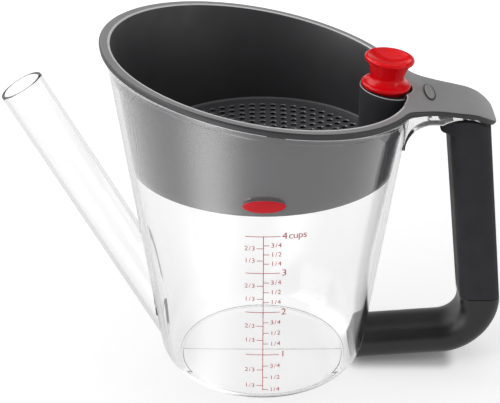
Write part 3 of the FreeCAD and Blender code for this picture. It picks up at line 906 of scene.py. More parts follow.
    def bracket(self) -> Object:
        """Arm under the thumb tab, filleted into the wall and arched over the grip.

        Returns:
            The solid.
        """
        wall_x = self.form.radius(self.bracket_underside - self.bracket_fillet)
        turns = [math.pi / 2 * share for share in shares(12)]
        fillet = [wall_x + self.bracket_fillet * (1 - math.cos(turn)) for turn in turns]
        straight = [mix(fillet[-1], self.bracket_end, share) for share in shares(24, first=False)]
        stations = [self.bracket_start, wall_x - 0.5] + fillet + straight
        return self.bar("bracket", stations, self.bracket_width, 0.0, 0.0)

    def pockets(self) -> list[Object]:
        """Hollows in the bracket, open under the tab, that leave the wall, two sides and a rib across.

        Returns:
            A solid for each hollow.
        """
        found = []
        for start, finish in self.pockets_x:
            stations = [mix(start, finish, share) for share in shares(24)]
            width = self.bracket_width - 2 * self.bracket_rib
            found.append(self.bar("bracket_pocket", stations, width, self.bracket_rib, 6.0))
            combine(found[-1], self.outside(), Combine.CUT)
        return found

    def underside(self, radius: float) -> float:
        """Height of the jug's rounded underside at a radius.

        Args:
            radius: Distance from the axis.

        Returns:
            The height.
        """
        form = self.form
        past = max(radius - (form.radius(form.base_round) - form.base_round * form.slant), 0.0)
        return form.base_round - math.sqrt(form.base_round**2 - past**2)

    def foot_marks(self) -> list[Object]:
        """Grooves of the mould under the floor: a ring and a line across it.

        Returns:
            A solid for each groove.
        """
        turns = around(8, 0.5)
        half_width, depth = self.foot_groove
        ring = [[polar(self.foot_ring + half_width * math.cos(turn), angle,
                       self.underside(self.foot_ring) + depth * math.sin(turn)) for turn in turns]
                for angle in around(192)]
        line = [[Vector((x, self.parting_groove * math.cos(turn),
                         self.underside(abs(x)) + self.parting_groove * math.sin(turn))) for turn in turns]
                for x in (mix(-self.foot_ring, self.foot_ring, share) for share in shares(36))]
        return [skin("foot_ring", ring, hoop=True), skin("parting_line", line)]

    def screw_rooms(self) -> list[Object]:
        """Room for the screw's head, and the hole for its shank.

        Returns:
            A solid for each of them.
        """
        return [skin("screw_room", [[lengthwise(self.screw_x, self.screw_seat) + polar(radius, turn, height)
                                     for turn in around(40)] for height in (low, high)])
                for radius, low, high in self.screw_holes]

    def build(self, recess: Object) -> Object:
        """Makes the clear piece.

        Args:
            recess: Hollow that the badge sits in.

        Returns:
            The jug, with its spout and bracket.
        """
        jug = self.outside()
        for tool in (self.spout(), self.bracket()):
            combine(jug, tool, Combine.ADD)
        rooms = (*self.foot_marks(), recess, *self.screw_rooms())
        for tool in (*self.pockets(), self.inside(), self.bore(), *rooms):
            combine(jug, tool, Combine.CUT)
        smooth(jug, 30.0)
        return jug


# ---------------------------------------------------------------- stopper


@dataclass
class Stopper:
    """Soft stopper: dished knob, waist, collar and ribbed plug, turned about a leaning axis."""

    seat_x: float = 57.4
    seat_height: float = 148.73
    lean: float = math.radians(5.5)
    plug_length: float = 16.0
    plug_tip: float = 7.4
    shoulder: Pair = (8.2, 4.8)
    rib_count: int = 3
    rib_pitch: float = 2.8
    waist: Pair = (8.05, 5.7)
    knob_height: float = 15.4
    edge_round: float = 1.3
    edge_reach: float = 10.45
    dish_depth: float = 3.2
    dish_radius: float = 10.2

    def frame(self) -> Matrix:
        """Placement of the stopper's own axis."""
        return Matrix.Translation((self.seat_x, 0.0, self.seat_height)) @ Matrix.Rotation(self.lean, 4, "Y")

    def plug(self) -> list[Pair]:
        """Profile of the ribbed plug, from its tip up.

        Returns:
            Pairs of radius and height.
        """
        end, (shoulder, depth) = -self.plug_length, self.shoulder
        points = [(2.0, end), (5.5, end), (6.4, end + 0.1), (6.95, end + 0.4), (7.3, end + 0.8)]
        for rib in range(1, self.rib_count + 1):
            for away, proud in ((-0.8, 0.0), (-0.5, 0.2), (0.0, 0.3), (0.5, 0.2), (0.8, 0.0)):
                height = end + self.rib_pitch * rib + away
                share = (height - end) / (self.plug_length - depth)
                points.append((mix(self.plug_tip, shoulder, share) + proud, height))
        return points + [(shoulder, -depth)]

    def profile(self) -> list[Pair]:
        """Profile of the whole stopper, from the plug's tip up to the middle of the dish.

        Returns:
            Pairs of radius and height.
        """
        edge, reach = self.edge_round, self.edge_reach
        points = self.plug() + [(9.35, -0.3), (9.5, 0.0), (10.2, 0.0)]
        turns = [math.pi * (share - 0.5) for share in shares(10)]
        points += [(reach + edge * math.cos(turn), edge + edge * math.sin(turn)) for turn in turns]
        collar, waist = Vector((reach, 2 * edge)), Vector(self.waist)
        knob = Vector((reach, self.knob_height - 2 * edge))
        pulls = (Vector((-2.4, 0.8)), Vector((0.0, 4.5)), Vector((2.6, 4.0)))
        points += [tuple(bend(collar, pulls[0], waist, pulls[1], share)) for share in shares(10, first=False)]
        points += [tuple(bend(waist, pulls[1], knob, pulls[2], share)) for share in shares(12, first=False)]
        points += [(reach + edge * math.cos(turn), self.knob_height - edge + edge * math.sin(turn))
                   for turn in turns[1:]]
        curve = (self.dish_radius**2 + self.dish_depth**2) / (2 * self.dish_depth)
        for radius in (mix(10.0, 0.9, share) for share in shares(14)):
            rise = curve - math.sqrt(curve**2 - radius**2)
            points.append((radius, self.knob_height - self.dish_depth + rise))
        return points

    def build(self) -> Object:
        """Makes the stopper.

        Returns:
            The stopper, in its socket.
        """
        place = self.frame()
        rings = [[place @ polar(radius, turn, height) for turn in around(128)]
                 for radius, height in self.profile()]
        return skin("red_stopper", rings, crease=40.0)


# ---------------------------------------------------------------- strainer


@dataclass
class Strainer:
    """Strainer without its plate: rim, wall, thumb tab and stopper post in one."""

    form: JugForm
    tab: ThumbTab
    wall: float = 2.0
    gap: float = 0.3
    floor_height: float = 115.0
    floor_thickness: float = 1.6
    floor_ledge: float = 1.0
    foot_bevel: Pairs = ((0.9, 0.0), (0.9, 0.55), (0.75, 0.9), (0.35, 1.1))
    wall_steps: int = 14
    top_steps: int = 23
    underside_steps: int = 18
    rim_overhang: float = 2.1
    rim_inner_round: float = 2.75
    funnel: Pairs = ((0.0, 26.0), (0.16, 20.0), (0.42, 14.0), (0.75, 9.5), (1.05, 6.5), (1.32, 4.2),
                     (1.53, 2.6), (1.7, 1.5), (1.85, 0.8), (1.98, 0.42), (2.4, 0.0))
    pocket_round: float = 0.9
    rim_outer_round: float = 1.2
    # Widths of the pale painted highlights on the rim: along its inner edge, from back to front, and along
    # the foot of its side.
    pale_strip: Pair = (0.5, 1.1)
    pale_foot: float = 1.1
    root_angle: float = math.radians(27.0)
    tab_middle: Pair = (77.6, 21.2)
    tab_neck: Pair = (90.0, 18.7)
    tab_side: Pair = (100.0, 17.2)
    tab_corner: float = 10.0
    tab_end: float = 110.0
    root_pull: float = 18.0
    neck_pull: float = 12.6
    middle_way: Pair = (0.932, -0.361)
    neck_way: Pair = (0.994, -0.105)
    tab_from: float = 73.6
    post_x: float = 58.0
    post_radius: float = 12.7
    post_drop: float = 2.4
    pocket_radius: float = 12.25
    pocket_x: float = 57.4
    pocket_blend: float = 0.8
    socket_profile: Pairs = ((10.0, 0.0), (8.8, 4.8), (8.0, 16.0), (7.9, 18.0))
    boss_x: float = 78.3
    boss_size: Pair = (5.6, 18.2)
    boss_profile: Pairs = ((0.0, -1.0), (0.0, 0.4), (0.1, 0.6), (0.3, 0.7), (0.65, 0.7), (0.8, 0.6),
                           (1.0, 0.5), (1.8, 0.52))

    @property
    def outer(self) -> float:
        """Offset of the basket's outer wall."""
        return self.form.inside - self.gap

    @property
    def inner(self) -> float:
        """Offset of the basket's inner wall."""
        return self.outer - self.wall

    def tab_path(self) -> Ring:
        """Edge of the tab in plan, on the side of +Y.

        Returns:
            Points from the root, where the tab leaves the rim, to the middle of the tab's end.
        """
        root = self.form.on_slope(self.root_angle, 0.0, self.rim_overhang)
        root = Vector((root.x, root.y, 0))
        points = (self.tab_middle, self.tab_neck, self.tab_side)
        middle, neck, side = (Vector((*point, 0)) for point in points)
        leave = Vector((math.sin(self.root_angle), -math.cos(self.root_angle), 0)) * self.root_pull
        at_middle, at_neck = Vector((*self.middle_way, 0)), Vector((*self.neck_way, 0))
        arrive = at_middle * self.root_pull
        path = [bend(root, leave, middle, arrive, share) for share in shares(24, last=False)]
        leave, arrive = at_middle * self.neck_pull, at_neck * self.neck_pull
        path += [bend(middle, leave, neck, arrive, share) for share in shares(14, last=False)]
        path += [neck.lerp(side, share) for share in shares(8, last=False)]
        centre = Vector((self.tab_end - self.tab_corner, self.tab_side[1] - self.tab_corner, 0))
        turns = [math.pi / 2 * (1 - share) for share in shares(16, last=False)]
        path += [centre + polar(self.tab_corner, turn, 0.0) for turn in turns]
        return path + [Vector((self.tab_end, centre.y * (1 - share), 0)) for share in shares(8)]

    def outline(self) -> list[tuple[float, Vector, Vector]]:
        """Rim's and tab's outer edge in plan.

        Returns:
            For each column, its angle on the rim's inner edge, its point on the outline and the
            outline's outward normal there.
        """
        half = []
        for angle in (mix(math.pi, self.root_angle, share) for share in shares(120, last=False)):
            point = self.form.on_slope(angle, 0.0, self.rim_overhang)
            half.append((angle, Vector((point.x, point.y, 0))))
        path, length, lengths = self.tab_path(), 0.0, [0.0]
        for before, after in zip(path, path[1:]):
            length += (after - before).length
            lengths.append(length)
        half += [(self.root_angle * (1 - way / length), point) for way, point in zip(lengths, path)]
        whole = half + [(-angle, Vector((point.x, -point.y, 0))) for angle, point in half[-2:0:-1]]
        result = []
        for number, (angle, point) in enumerate(whole):
            along = (whole[(number + 1) % len(whole)][1] - whole[number - 1][1]).normalized()
            result.append((angle, point, Vector((-along.y, along.x, 0))))
        return result

    def tab_share(self, x: float, y: float) -> float:
        """How far a place belongs to the tab: 0 on the rim, 1 on the tab.

        Args:
            x: Place along X.
            y: Place along Y.

        Returns:
            The share.
        """
        angle = math.atan2(y, x)
        rim = self.form.on_slope(angle, 0.0, self.rim_overhang)
        reach = math.hypot(x, y) - math.hypot(rim.x, rim.y)
        return ease(-5.5, 6.0, reach) * (1 - ease(math.radians(17), math.radians(28), abs(angle)))

    def top(self, x: float, y: float) -> float:
        """Height of the rim's and tab's top surface."""
        share = self.tab_share(x, y)
        return self.form.rim(x) if share == 0 else mix(self.form.rim(x), self.tab.height(x, y), share)

    def on_top(self, place: Vector) -> Vector:
        """Point of the top surface over a place."""
        return Vector((place.x, place.y, self.top(place.x, place.y)))

    def thickness(self, x: float, y: float) -> float:
        """Thickness of the rim or tab at a place."""
        return mix(self.form.rim_thickness - 0.05, self.tab.thickness, self.tab_share(x, y))

    def pocket(self, angle: float, cone: float) -> float:
        """Radius of the inner wall round the stopper's collar, where it cuts into the rim.

        Args:
            angle: Angle about the axis.
            cone: Radius of the plain wall there.

        Returns:
            The larger of the two radii, with a soft passage.
        """
        across = self.pocket_x * math.sin(angle)
        if abs(across) >= self.pocket_radius or abs(angle) > math.pi / 2:
            return cone
        reach = self.pocket_x * math.cos(angle) + math.sqrt(self.pocket_radius**2 - across**2)
        if reach <= cone - 6:
            return cone
        blend = self.pocket_blend
        return math.log(math.exp(cone / blend) + math.exp(reach / blend)) * blend

    def inner_side(self, angle: float) -> Ring:
        """Inside of the moulding.

        Args:
            angle: Angle about the axis.

        Returns:
            Points from the plate's edge up the wall and the funnel to the rim's inner edge.
        """
        form, floor = self.form, self.floor_height
        start = form.on_slope(angle, self.rim_inner_round, self.inner)
        cone = math.hypot(start.x, start.y)
        edge = self.pocket(angle, cone)
        cut = ease(0.05, 1.2, edge - cone)
        shelf = mix(self.funnel[0][1], self.post_drop + 0.15, cut)
        foot = form.radius(floor, self.inner)
        loop = [polar(foot - back, angle, floor + rise) for back, rise in self.foot_bevel]
        high = form.on_slope(angle, shelf + 0.4, self.inner).z
        loop += [form.on_wall(angle, mix(floor + 1.3, high, share), self.inner)
                 for share in shares(self.wall_steps)]
        loop.append(form.on_slope(angle, shelf + 0.05, self.inner))
        ledge = polar(edge, angle, form.rim(edge * math.cos(angle), shelf))
        loop.append(form.on_slope(angle, shelf, self.inner).lerp(ledge, cut))
        turns = [math.pi / 2 * share for share in shares(len(self.funnel) - 2)]
        for turn, (out, depth) in zip(turns, self.funnel[1:]):
            radius = edge + self.pocket_round * (1 - math.cos(turn))
            height = form.rim(radius * math.cos(angle), self.pocket_round * (1 - math.sin(turn)))
            loop.append(form.on_slope(angle, depth, self.inner + out).lerp(polar(radius, angle, height), cut))
        return loop

    def rim_side(self, angle: float, point: Vector, normal: Vector, begin: Vector) -> Ring:
        """Top, outer edge and underside of the rim or tab.

        Args:
            angle: Angle of the column on the rim's inner edge.
            point: Outer edge in plan.
            normal: Outward normal of the outer edge.
            begin: Where the inside ends.

        Returns:
            Points from the rim's inner edge over the top and back to the outer wall.
        """
        form = self.form
        on_tab = abs(angle) < self.root_angle
        slope = self.tab.slope_angle(point.x) if on_tab else form.rim_slope
        inward = -Vector((normal.x * math.cos(slope), normal.y, 0))
        rounding = quarter(self.rim_outer_round, 4)
        across = point + inward * rounding[0][0] - begin
        across.z = 0.0
        # Width of the pale painted highlight along the rim's inner edge, wider on the front half.
        highlight_width = mix(*self.pale_strip, max(-math.sin(angle), 0.0) ** 2)
        strip = mix(highlight_width, 0.08, ease(8.0, 14.0, across.length)) / across.length
        stations = [0.0] + [mix(strip, 1.0, part) for part in shares(self.top_steps)]
        loop = [self.on_top(begin + across * share) for share in stations]

        tab_down = lengthwise(-math.sin(slope), -math.cos(slope))
        wall_down = -polar(form.flare, angle, 1.0)
        down = wall_down.lerp(tab_down, ease(0.2, 0.9, self.tab_share(point.x, point.y)))
        thickness = self.thickness(point.x, point.y)
        middle = max(thickness * 0.5, self.rim_outer_round + 0.15)
        # The lowest part of the rim's side takes a pale painted highlight; the part above it is in painted
        # shade.
        foot = max(thickness - self.pale_foot, middle + 0.05)
        side = rounding[1:] + [(0.0, middle), (0.0, foot), (0.0, thickness - 0.5), (0.12, thickness - 0.14)]
        loop += [self.on_top(point + inward * back) + down * drop for back, drop in side]

        bottom = point + inward * 0.5 + down * thickness
        wall_top = form.on_slope(angle, form.rim_thickness - 0.05, self.outer + 0.5)
        for share in shares(self.underside_steps):
            x, y = mix(bottom.x, wall_top.x, share), mix(bottom.y, wall_top.y, share)
            steep = self.tab.slope_angle(x) if on_tab else form.rim_slope
            through = mix(1.0, 1 / math.cos(steep), self.tab_share(x, y))
            loop.append(Vector((x, y, self.top(x, y) - self.thickness(x, y) * through)))
        return loop

    def outer_side(self, angle: float) -> Ring:
        """Outside of the moulding.

        Args:
            angle: Angle about the axis.

        Returns:
            Points from under the rim down the wall to the step that the plate sits in.
        """
        form, foot, seat = self.form, self.floor_height - self.floor_thickness, self.floor_height - 0.02
        loop = [form.on_slope(angle, form.rim_thickness + drop, self.outer + out)
                for drop, out in ((0.1, 0.15), (0.5, 0.0))]
        high = form.on_slope(angle, form.rim_thickness + 1.0, self.outer).z
        loop += [form.on_wall(angle, mix(high, foot + 0.5, share), self.outer)
                 for share in shares(self.wall_steps)]
        loop += [polar(form.radius(foot, self.outer) - back, angle, foot + rise)
                 for back, rise in ((0.15, 0.12), (0.5, 0.0))]
        inner_foot = form.radius(self.floor_height, self.inner)
        ledge = inner_foot + self.floor_ledge
        return loop + [polar(ledge, angle, foot), polar(ledge, angle, seat), polar(inner_foot, angle, seat)]

    def moulding(self) -> Object:
        """Wall, rim and thumb tab.

        Returns:
            The moulding, with one of the strainer's tones in each band, painting its light and shade.
        """
        columns = []
        for angle, point, normal in self.outline():
            inside = self.inner_side(angle)
            begin = inside.pop()
            columns.append(inside + self.rim_side(angle, point, normal, begin) + self.outer_side(angle))
        # Bands from the plate's edge up: a ring on the floor ledge in the lighter band tone as a painted
        # highlight, the inside in painted shade, a pale painted highlight along the rim's inner edge, the top
        # painted lit from above, the rim's rounding and side in painted shade, a pale painted highlight along
        # its foot, the underside in painted shade, and the outer wall in the band tone with its painted
        # light.
        counts = ((BasketFinish.BAND, len(self.foot_bevel)),
                  (BasketFinish.INSIDE, self.wall_steps + len(self.funnel)),
                  (BasketFinish.EDGE, 2),
                  (BasketFinish.TOP, self.top_steps + 1),
                  (BasketFinish.INSIDE, 6),
                  (BasketFinish.EDGE, 3),
                  (BasketFinish.INSIDE, self.underside_steps + 1))
        bands = [finish for finish, count in counts for _ in range(count)]
        bands += [BasketFinish.BAND] * (len(columns[0]) - len(bands))
        moulding = skin("strainer_body", list(zip(*columns)), hoop=True, crease=40.0, bands=bands)
        # On the tab the pale painted highlight is left off: its edge bands take the painted shade instead.
        for face in moulding.data.polygons:
            on_tab = face.center.x > 0 and face.center.xy.length > self.tab_from * MM
            if on_tab and face.material_index == BasketFinish.EDGE:
                face.material_index = BasketFinish.INSIDE
        return moulding

    def post(self) -> Object:
        """Round post on the handle side, with the stopper's socket in its sloping top.

        Returns:
            The solid.
        """
        turns = around(96)
        foot = self.floor_height - 0.8

        def held(point: Vector) -> Vector:
            """Keeps a point within the basket's wall.

            Args:
                point: The point.

            Returns:
                The point, moved in where it has to be.
            """
            under_rim = self.form.rim(point.x) - point.z
            limit = self.form.radius(point.z, self.inner + 1.0 + 1.1 * (1 - ease(2.4, 5.5, under_rim)))
            keep = min(limit / math.hypot(point.x, point.y), 1.0)
            return Vector((point.x * keep, point.y * keep, point.z))

        def level(back: float, drop: float) -> Ring:
            """Ring near the post's top.

            Args:
                back: Distance in from the post's side.
                drop: Distance under its top.

            Returns:
                The ring.
            """
            middle = lengthwise(self.post_x, 0.0)
            ring = [middle + polar(self.post_radius - back, turn, 0.0) for turn in turns]
            heights = [self.form.rim(spot.x, self.post_drop + drop) for spot in ring]
            return [held(Vector((spot.x, spot.y, height))) for spot, height in zip(ring, heights)]

        column = level(0.0, 0.25)
        rings = [[held(Vector((spot.x, spot.y, mix(foot, spot.z, share)))) for spot in column]
                 for share in shares(10)]
        rings += [level(back, drop) for back, drop in ((0.03, 0.12), (0.1, 0.04), (0.24, 0.0))]
        lean = Stopper().frame()
        socket = [[lean @ polar(radius, turn, -depth) for turn in turns]
                  for radius, depth in self.socket_profile]
        socket[0] = [Vector((spot.x, spot.y, self.form.rim(spot.x, self.post_drop))) for spot in socket[0]]
        # The post's side and socket are in painted shade, and the narrow bevel round its top is a pale
        # painted highlight.
        inside, edge = BasketFinish.INSIDE, BasketFinish.EDGE
        bands = [inside] * 10 + [edge] * 3 + [inside] * len(self.socket_profile)
        return skin("strainer_post", rings + socket, crease=40.0, bands=bands)

    def boss(self) -> Object:
        """Plain oval boss on the tab, with a shallow dish.

        Returns:
            The solid.
        """
        half_x, half_y = self.boss_size[0] / 2, self.boss_size[1] / 2
        rings = []
        for back, rise in self.boss_profile:
            places = [(self.boss_x + (half_x - back) * math.cos(turn), (half_y - back) * math.sin(turn))
                      for turn in around(72)]
            rings.append([Vector((x, y, self.top(x, y) + rise)) for x, y in places])
        # Its sides are in painted shade, which draws a dark outline, and its top takes the top tone, painted
        # light.
        bands = [BasketFinish.INSIDE] * 4 + [BasketFinish.TOP] * 3
        return skin("tab_boss", rings, crease=50.0, bands=bands)

    def build(self, finishes: Sequence[Material]) -> Object:
        """Makes the strainer's main piece.

        Args:
            finishes: Its tones in the order of their places: copies of one plastic that paint its light and
                shade.

        Returns:
            The strainer without its plate.
        """
        body, *others = self.moulding(), self.post(), self.boss()
        dress(body, finishes)
        join(body, *others)
        smooth(body, 38.0)
        return body


@dataclass
class PerforatedFloor:
    """Strainer's floor: a round plate with rings of countersunk holes, made by nodes."""

    height: float = 115.0
    thickness: float = 1.6
    radius: float = 61.9
    rim_segments: int = 192
    outer_ring: float = 53.79
    ring_pitch: float = 5.0
    ring_count: int = 11
    hole_spacing: float = 5.26
    hole_radius: float = 1.5
    sink_radius: float = 1.95
    sink_depth: float = 0.3
    post_x: float = 58.0
    post_reach: float = 14.3

    def tree(self, inputs: Sequence[str]) -> bpy.types.NodeTree:
        """Node tree: rings of holes, left out round the post and cut from a disc.

        Args:
            inputs: Names of its inputs: an object, the finishes and the sizes.

        Returns:
            The tree.
        """
        tree = bpy.data.node_groups.new("perforations", "GeometryNodeTree")
        tree.interface.new_socket("Geometry", in_out="OUTPUT", socket_type="NodeSocketGeometry")
        for name in inputs:
            kind = "Object" if name == "Cutter" else "Material" if name.endswith("Finish") else "Float"
            tree.interface.new_socket(name, in_out="INPUT", socket_type="NodeSocket" + kind)
        wires = Wiring(tree)
        given = wires.node("NodeGroupInput").outputs

        def made(kind: str, **feeds: object) -> Socket:
            """First output of a geometry node."""
            named = {key.replace("_", " "): value for key, value in feeds.items()}
            return wires.node("GeometryNode" + kind, named).outputs["Geometry" if kind == "ObjectInfo" else 0]

        def at(**places: object) -> Socket:
            """Vector from its parts."""
            return wires.node("ShaderNodeCombineXYZ", places).outputs[0]

        def holes_in(radius: Socket) -> Socket:
            """Number of holes in a ring."""
            way = wires.sum("MULTIPLY", radius, 2 * math.pi)
            return wires.sum("ROUND", wires.sum("DIVIDE", way, given["Hole Spacing"]))

        widest = holes_in(given["Outer Ring"])
        number = made("InputIndex")
        ring = wires.sum("FLOOR", wires.sum("DIVIDE", number, widest))
        step = wires.sum("SUBTRACT", number, wires.sum("MULTIPLY", ring, widest))
        radius = wires.sum("SUBTRACT", given["Outer Ring"], wires.sum("MULTIPLY", ring, given["Ring Pitch"]))
        holes = holes_in(radius)
        turn = wires.sum("DIVIDE", wires.sum("MULTIPLY", step, 2 * math.pi), holes)
        spot = at(X=wires.sum("MULTIPLY", wires.sum("SINE", turn), radius),
                  Y=wires.sum("MULTIPLY", wires.sum("COSINE", turn), radius))
        spare = wires.sum("GREATER_THAN", step, wires.sum("SUBTRACT", holes, 0.5))
        away = wires.vector("DISTANCE", spot, at(X=given["Post Place"]), "Value")
        on_post = wires.sum("LESS_THAN", away, given["Post Clearance"])

        points = made("Points", Count=wires.sum("MULTIPLY", widest, given["Ring Count"]), Position=spot)
        points = made("DeleteGeometry", Geometry=points, Selection=wires.sum("MAXIMUM", spare, on_post))
        cutter = made("ObjectInfo", Object=given["Cutter"])
        cutters = made("RealizeInstances", Geometry=made("InstanceOnPoints", Points=points, Instance=cutter))
        plate = made("MeshCylinder", Vertices=self.rim_segments, Radius=given["Plate Radius"],
                     Depth=given["Plate Thickness"])
        lowered = wires.sum("MULTIPLY", given["Plate Thickness"], -0.5)
        plate = made("Transform", Geometry=plate, Translation=at(Z=lowered))
        plate = made("MeshBoolean", Mesh_1=plate, Mesh_2=cutters)
        plate = made("Transform", Geometry=plate, Translation=at(Z=given["Plate Top"]))
        plate = made("RealizeInstances", Geometry=plate)
        plate = made("SetMaterial", Geometry=plate, Material=given["Finish"])
        # Countersink faces take a lighter tone, a painted highlight round each hole; the steep walls of the
        # holes take a near black tone, painted shade.
        level = wires.sum("ABSOLUTE", wires.parts(made("InputNormal"))["Z"])
        for name, limit in (("Edge Highlight Finish", 0.95), ("Hole Shade Finish", 0.4)):
            chosen = wires.sum("LESS_THAN", level, limit)
            plate = made("SetMaterial", Geometry=plate, Selection=chosen, Material=given[name])
        wires.node("NodeGroupOutput", {0: plate})
        return tree

    def build(self, finishes: Sequence[Material]) -> Object:
        """Makes the plate as a plain mesh.

        Args:
            finishes: Materials of its faces, of the holes' edges, lighter as a painted highlight, and of the
                holes, near black as painted shade.

        Returns:
            The plate.
        """
        profile = ((self.hole_radius, -self.thickness - 1), (self.hole_radius, -self.sink_depth),
                   (2 * self.sink_radius - self.hole_radius, self.sink_depth))
        cutter = skin("hole_cutter", [[polar(radius, turn, height) for turn in around(16)]
                                      for radius, height in profile])
        values = dict(zip(("Cutter", "Finish", "Edge Highlight Finish", "Hole Shade Finish"), (cutter, *finishes)))
        sizes = {"Outer Ring": self.outer_ring, "Ring Pitch": self.ring_pitch,
                 "Hole Spacing": self.hole_spacing, "Plate Radius": self.radius,
                 "Plate Thickness": self.thickness, "Plate Top": self.height,
                 "Post Place": self.post_x, "Post Clearance": self.post_reach}
        values |= {name: size * MM for name, size in sizes.items()}
        values["Ring Count"] = float(self.ring_count)
        plate = bpy.data.objects.new("strainer_plate", bpy.data.meshes.new("strainer_plate"))
        bpy.context.scene.collection.objects.link(plate)
        holes = plate.modifiers.new("perforations", "NODES")
        holes.node_group = self.tree(list(values))
        for item in holes.node_group.interface.items_tree:
            if item.in_out == "INPUT":
                holes[item.identifier] = values[item.name]
        bake(plate)
        bpy.data.objects.remove(cutter)
        smooth(plate, 25.0)
        return plate


# ---------------------------------------------------------------- handle


@dataclass
class Handle:
    """Rigid lower arm and elbow, and the soft sleeve over the upright spine."""

    form: JugForm
    tab: ThumbTab
    grip_middle: Pair = (98.05, 125.0)
    grip_lean: float = math.radians(6.8)
    grip_size: tuple[float, float, float] = (19.7, 28.0, 5.5)
    seam_height: float = 39.0
    seam_round: float = 0.45
    seam_gap: float = 0.03
    elbow_radius: float = 20.4
    arm_start: Pair = (56.0, 10.4)
    arm_rise: float = math.radians(4.6)
    arm_size: tuple[float, float, float] = (17.2, 29.0, 8.3)
    arm_power: float = 2.5
    arm_tip_x: float = 45.0
    arm_clearance: float = 0.12
    top_round: float = 0.7
    lip_reach: float = 4.0
    lip_height: float = 131.2
    lip_radius: float = 2.2
    lip_width: float = 21.0

    @property
    def grip_down(self) -> Vector:
        """Direction down the grip's axis."""
        return lengthwise(math.sin(self.grip_lean), -math.cos(self.grip_lean))

    @property
    def grip_out(self) -> Vector:
        """Direction across the grip, away from the jug."""
        return lengthwise(math.cos(self.grip_lean), math.sin(self.grip_lean))

    @property
    def arm_in(self) -> Vector:
        """Direction along the lower arm, towards the jug."""
        return lengthwise(-math.cos(self.arm_rise), -math.sin(self.arm_rise))

    def grip_axis(self, height: float) -> Vector:
        """Point of the grip's axis at a height."""
        x, middle = self.grip_middle
        return lengthwise(x, middle) + self.grip_down * ((middle - height) / math.cos(self.grip_lean))

    def at_height(self, across: float, along: float, height: float) -> Vector:
        """Point of the grip's section, slid along its axis to a height.

        Args:
            across: Place across the section.
            along: Place along it.
            height: Height above the table.

        Returns:
            The point.
        """
        point = self.grip_axis(height) + self.grip_out * across
        slide = self.grip_down * ((point.z - height) / math.cos(self.grip_lean))
        return point + slide + Vector((0, along, 0))

    def elbow_centre(self) -> Vector:
        """Centre of the elbow's bend, one radius inside both axes.

        Returns:
            The centre.
        """
        inward, down = self.arm_in, self.grip_down
        arm_down = lengthwise(math.sin(self.arm_rise), -math.cos(self.arm_rise))
        arm = lengthwise(*self.arm_start) - arm_down * self.elbow_radius
        away = self.grip_axis(0.0) - self.grip_out * self.elbow_radius - arm
        cross = inward.x * down.z - inward.z * down.x
        return arm + inward * ((away.x * down.z - away.z * down.x) / cross)

    def arm_ring(self, middle: Vector, outward: Vector, size: Sequence[float], oval: float) -> Ring:
        """Section of the arm.

        Args:
            middle: Its middle.
            outward: Direction across it, in the elbow's plane.
            size: Depth, width and corner.
            oval: 0 for a rounded rectangle, 1 for an oval within it.

        Returns:
            The section's points.
        """
        ring = []
        for across, along in rounded_section(*size):
            reach = abs(2 * across / size[0]) ** self.arm_power + abs(2 * along / size[1]) ** self.arm_power
            keep = mix(1.0, reach ** (-1 / self.arm_power), oval)
            ring.append(middle + outward * across * keep + Vector((0, along * keep, 0)))
        return ring

    def edge_rings(self, start: float, finish: float) -> list[Ring]:
        """Rounded edge at the seam.

        Args:
            start: Height where the grip's full section ends.
            finish: Height where the edge ends.

        Returns:
            Its rings, each further in.
        """
        rings = []
        depth, width, corner = self.grip_size
        for swing in (math.pi / 2 * turn for turn in (0.35, 0.7, 1.0)):
            back = self.seam_round * (1 - math.cos(swing))
            section = rounded_section(depth - 2 * back, width - 2 * back, corner - back)
            height = mix(start, finish, math.sin(swing))
            rings.append([self.at_height(across, along, height) for across, along in section])
        return rings

    def arm(self) -> Object:
        """Lower arm, elbow and stub up to the seam, hollowed to fit the jug.

        Returns:
            The solid.
        """
        centre = self.elbow_centre()
        first = self.arm_rise - math.pi / 2
        outward = lengthwise(math.cos(first), math.sin(first))
        start = centre + outward * self.elbow_radius
        reach = (start.x - self.arm_tip_x) / math.cos(self.arm_rise)
        rings = [self.arm_ring(start + self.arm_in * reach * (1 - share), outward, self.arm_size, 1.0)
                 for share in shares(16, last=False)]
        for share in shares(28):
            angle = mix(first, self.grip_lean, share)
            outward = lengthwise(math.cos(angle), math.sin(angle))
            size = [mix(low, high, share**3) for low, high in zip(self.arm_size, self.grip_size)]
            middle = centre + outward * self.elbow_radius
            rings.append(self.arm_ring(middle, outward, size, 1 - ease(0.0, 1.0, share)))
        stub = list(zip(rounded_section(*self.grip_size), rings[-1]))
        seam = self.seam_height - self.seam_round
        for share in shares(4, first=False):
            rings.append([self.at_height(across, along, mix(point.z, seam, share))
                          for (across, along), point in stub])
        arm = skin("handle_arm", rings + self.edge_rings(seam, self.seam_height - self.seam_gap), crease=40.0)
        room = JugForm(base_radius=self.form.base_radius + self.arm_clearance)
        combine(arm, ClearJug(room, self.tab).outside(), Combine.CUT)
        smooth(arm, 40.0)
        return arm

    def lip_push(self, across: float, along: float, height: float) -> float:
        """How far the lip stands out of the sleeve's side.

        Args:
            across: Place across the grip's section.
            along: Place along it.
            height: Height above the table.

        Returns:
            The push, towards the jug.
        """
        facing = ease(0.55, 0.95, -across / (self.grip_size[0] / 2))
        inside = 1 - ease(self.lip_width / 2 - 2.0, self.grip_size[1] / 2 - 0.6, abs(along))
        below = max(self.lip_height - height, 0.0)
        if below >= self.lip_radius:
            return 0.0
        return (self.lip_reach - self.lip_radius + math.sqrt(self.lip_radius**2 - below**2)) * facing * inside

    def lipped(self, across: float, along: float, height: float) -> Vector:
        """Point of the sleeve's side, pushed out where the lip is."""
        return self.at_height(across, along, height) - self.grip_out * self.lip_push(across, along, height)

